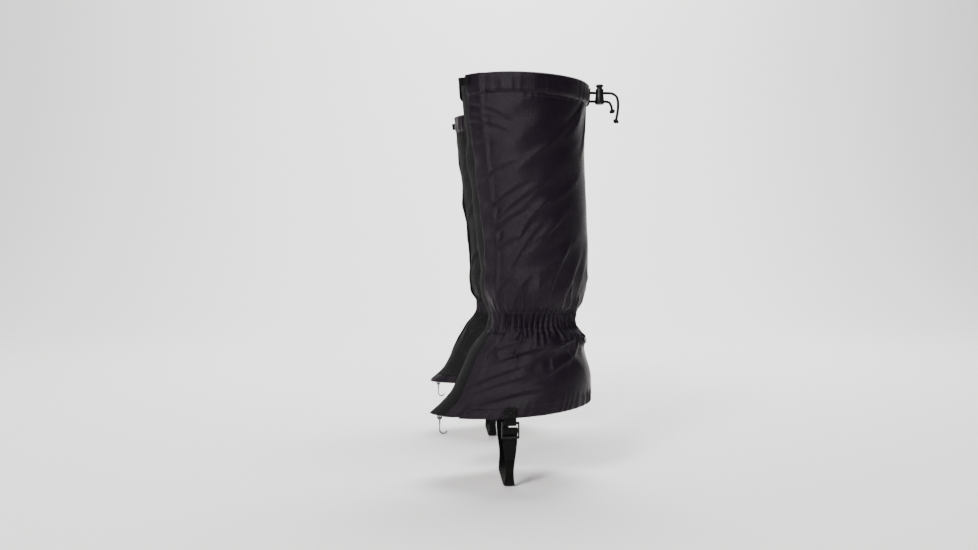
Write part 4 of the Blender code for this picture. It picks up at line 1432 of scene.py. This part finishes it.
SEAM_INSET, HEM_INSET = 0.0022, 0.0024
EDGE_INSET, BACK_ROW = 2.2, 3.4
ALONG, UP = np.array((1.0, 0, 0)), np.array((0, 0, 1.0))
for label, side in SIDES:
    seed, body = SEEDS[label], label + "_gaiter"
    round_leg = angles(52, 352, 1.0)
    seam_heights = (
        ANKLE_HIGH + SEAM_INSET,
        ANKLE_LOW - SEAM_INSET,
        hem_low(round_leg) - HEM_INSET,
        bottom(round_leg) + BOTTOM_HEM + SEAM_INSET,
    )
    lines = [on_cloth(side, seed, round_leg, height) for height in seam_heights]
    wave = gathers(round_leg, hem_low(round_leg) * 0.4, 44, seed + 3) * 0.0003
    lines.append(place(side, skin(round_leg, hem_low(round_leg) + 0.0052, HEM_OUT + wave + 0.0003)))
    for shift in (-BACK_ROW, BACK_ROW):
        for low, high in ((ANKLE_HIGH + 0.003, 0.416), (0.100, ANKLE_LOW - 0.003)):
            lines.append(on_cloth(side, seed, 180.0 + shift, np.linspace(low, high, 80)))
    stitches(label + "_sleeve_stitches", body, "outer_fabric", STITCHES, lines, seed, Pitch=0.0030)
    for (part, edge), low, high in zip(FLAP_PARTS, (0.170, 0.082), (0.4445, 0.162)):
        lines = [on_flap(side, seed, edge, edge + EDGE_INSET, np.linspace(low, high, 140))]
        flap_round = np.linspace(edge + EDGE_INSET, FLAP_HINGE - 0.5, 40)
        heights = (bottom(flap_round) + BOTTOM_HEM,)
        if part == "upper":
            heights = (*seam_heights[:2], hem_low(flap_round) - HEM_INSET)
        lines += [on_flap(side, seed, edge, flap_round, height) for height in heights]
        name, flap = f"{label}_flap_stitches_{part}", f"{label}_flap_{part}"
        stitches(name, flap, "outer_fabric", STITCHES, lines, seed + 1, Pitch=0.0030)
    outside = place(side, (STRAP_X - 0.0045, PLATE + 0.0008, BAR_Z + 0.0070))
    inner = place(side, (STRAP_X - 0.0055, -0.0549, 0.0790))
    lines = box_lines(outside, ALONG, UP, 0.0090, 0.0080) + box_lines(inner, ALONG, UP, 0.0110, 0.0080)
    inputs = {"Pitch": 0.0016, "Thread length": 0.0013}
    stitches(label + "_tab_stitches", body, "webbing", BLACK_STITCHES, lines, seed + 2, **inputs)
    turn = np.linspace(0, 2 * np.pi, 60)
    ring = skin(180 + 5.6 * np.cos(turn), 0.4290 + 0.0078 * np.sin(turn), 0.0052)
    inputs = {"Pitch": 0.0018, "Thread length": 0.0014, "Thread width": 0.0005}
    lines = [place(side, ring)]
    stitches(label + "_patch_stitches", body, "webbing", BLACK_STITCHES, lines, seed + 3, **inputs)

# %% [markdown]
# The stage is a pale floor that curves up into a pale wall behind. One large soft light stands at
# the front left, so the shin sides are lit and the calf sides fall into shade, and the pale world
# fills the rest.

# %% Stage and light
FLOOR_Z = -0.0005


def stage_material(name, colour, roughness):
    stage = Finish(name, Roughness=roughness)
    cloud = stage.noise(0.8, 3.0)
    darker = tuple(value * 0.97 for value in colour)
    stage.colour(cloud, darker, colour)
    return stage.material


sweep = [(-4.0, FLOOR_Z), (1.6, FLOOR_Z)]
sweep += [(1.6 + 1.4 * math.sin(a), FLOOR_Z + 1.4 * (1 - math.cos(a))) for a in np.linspace(0, 1.5, 16)[1:]]
sweep += [(3.1, 5.0)]
stage_mesh = bpy.data.meshes.new("floor")
stage_points = [(x, y, z) for y, z in sweep for x in (-6.0, 6.0)]
stage_faces = [(2 * k, 2 * k + 1, 2 * k + 3, 2 * k + 2) for k in range(len(sweep) - 1)]
stage_mesh.from_pydata(stage_points, [], stage_faces)
stage_mesh.shade_smooth()
stage_mesh.materials.append(stage_material("pale_floor", (0.88, 0.862, 0.85), 0.75))
new_object("floor", stage_mesh)


def area_light(name, place_at, target, size, watts, colour=(1.0, 1.0, 1.0)):
    data = bpy.data.lights.new(name, "AREA")
    data.shape = "DISK"
    data.size = size
    data.energy = watts
    data.color = colour
    light = new_object(name, data)
    light.location = place_at
    light.rotation_euler = (Vector(target) - Vector(place_at)).to_track_quat("-Z", "Y").to_euler()


area_light("key", (-1.15, -1.95, 1.65), (0.0, -0.1, 0.24), 0.75, 88.0, (1.0, 0.985, 0.975))
area_light("wall", (0.3, 0.9, 2.6), (0.0, 2.6, 0.6), 2.2, 205.0)
world = bpy.data.worlds.new("pale_world")
world.use_nodes = True
world.node_tree.nodes["Background"].inputs["Color"].default_value = (0.93, 0.94, 1.0, 1.0)
world.node_tree.nodes["Background"].inputs["Strength"].default_value = 0.26
bpy.context.scene.world = world
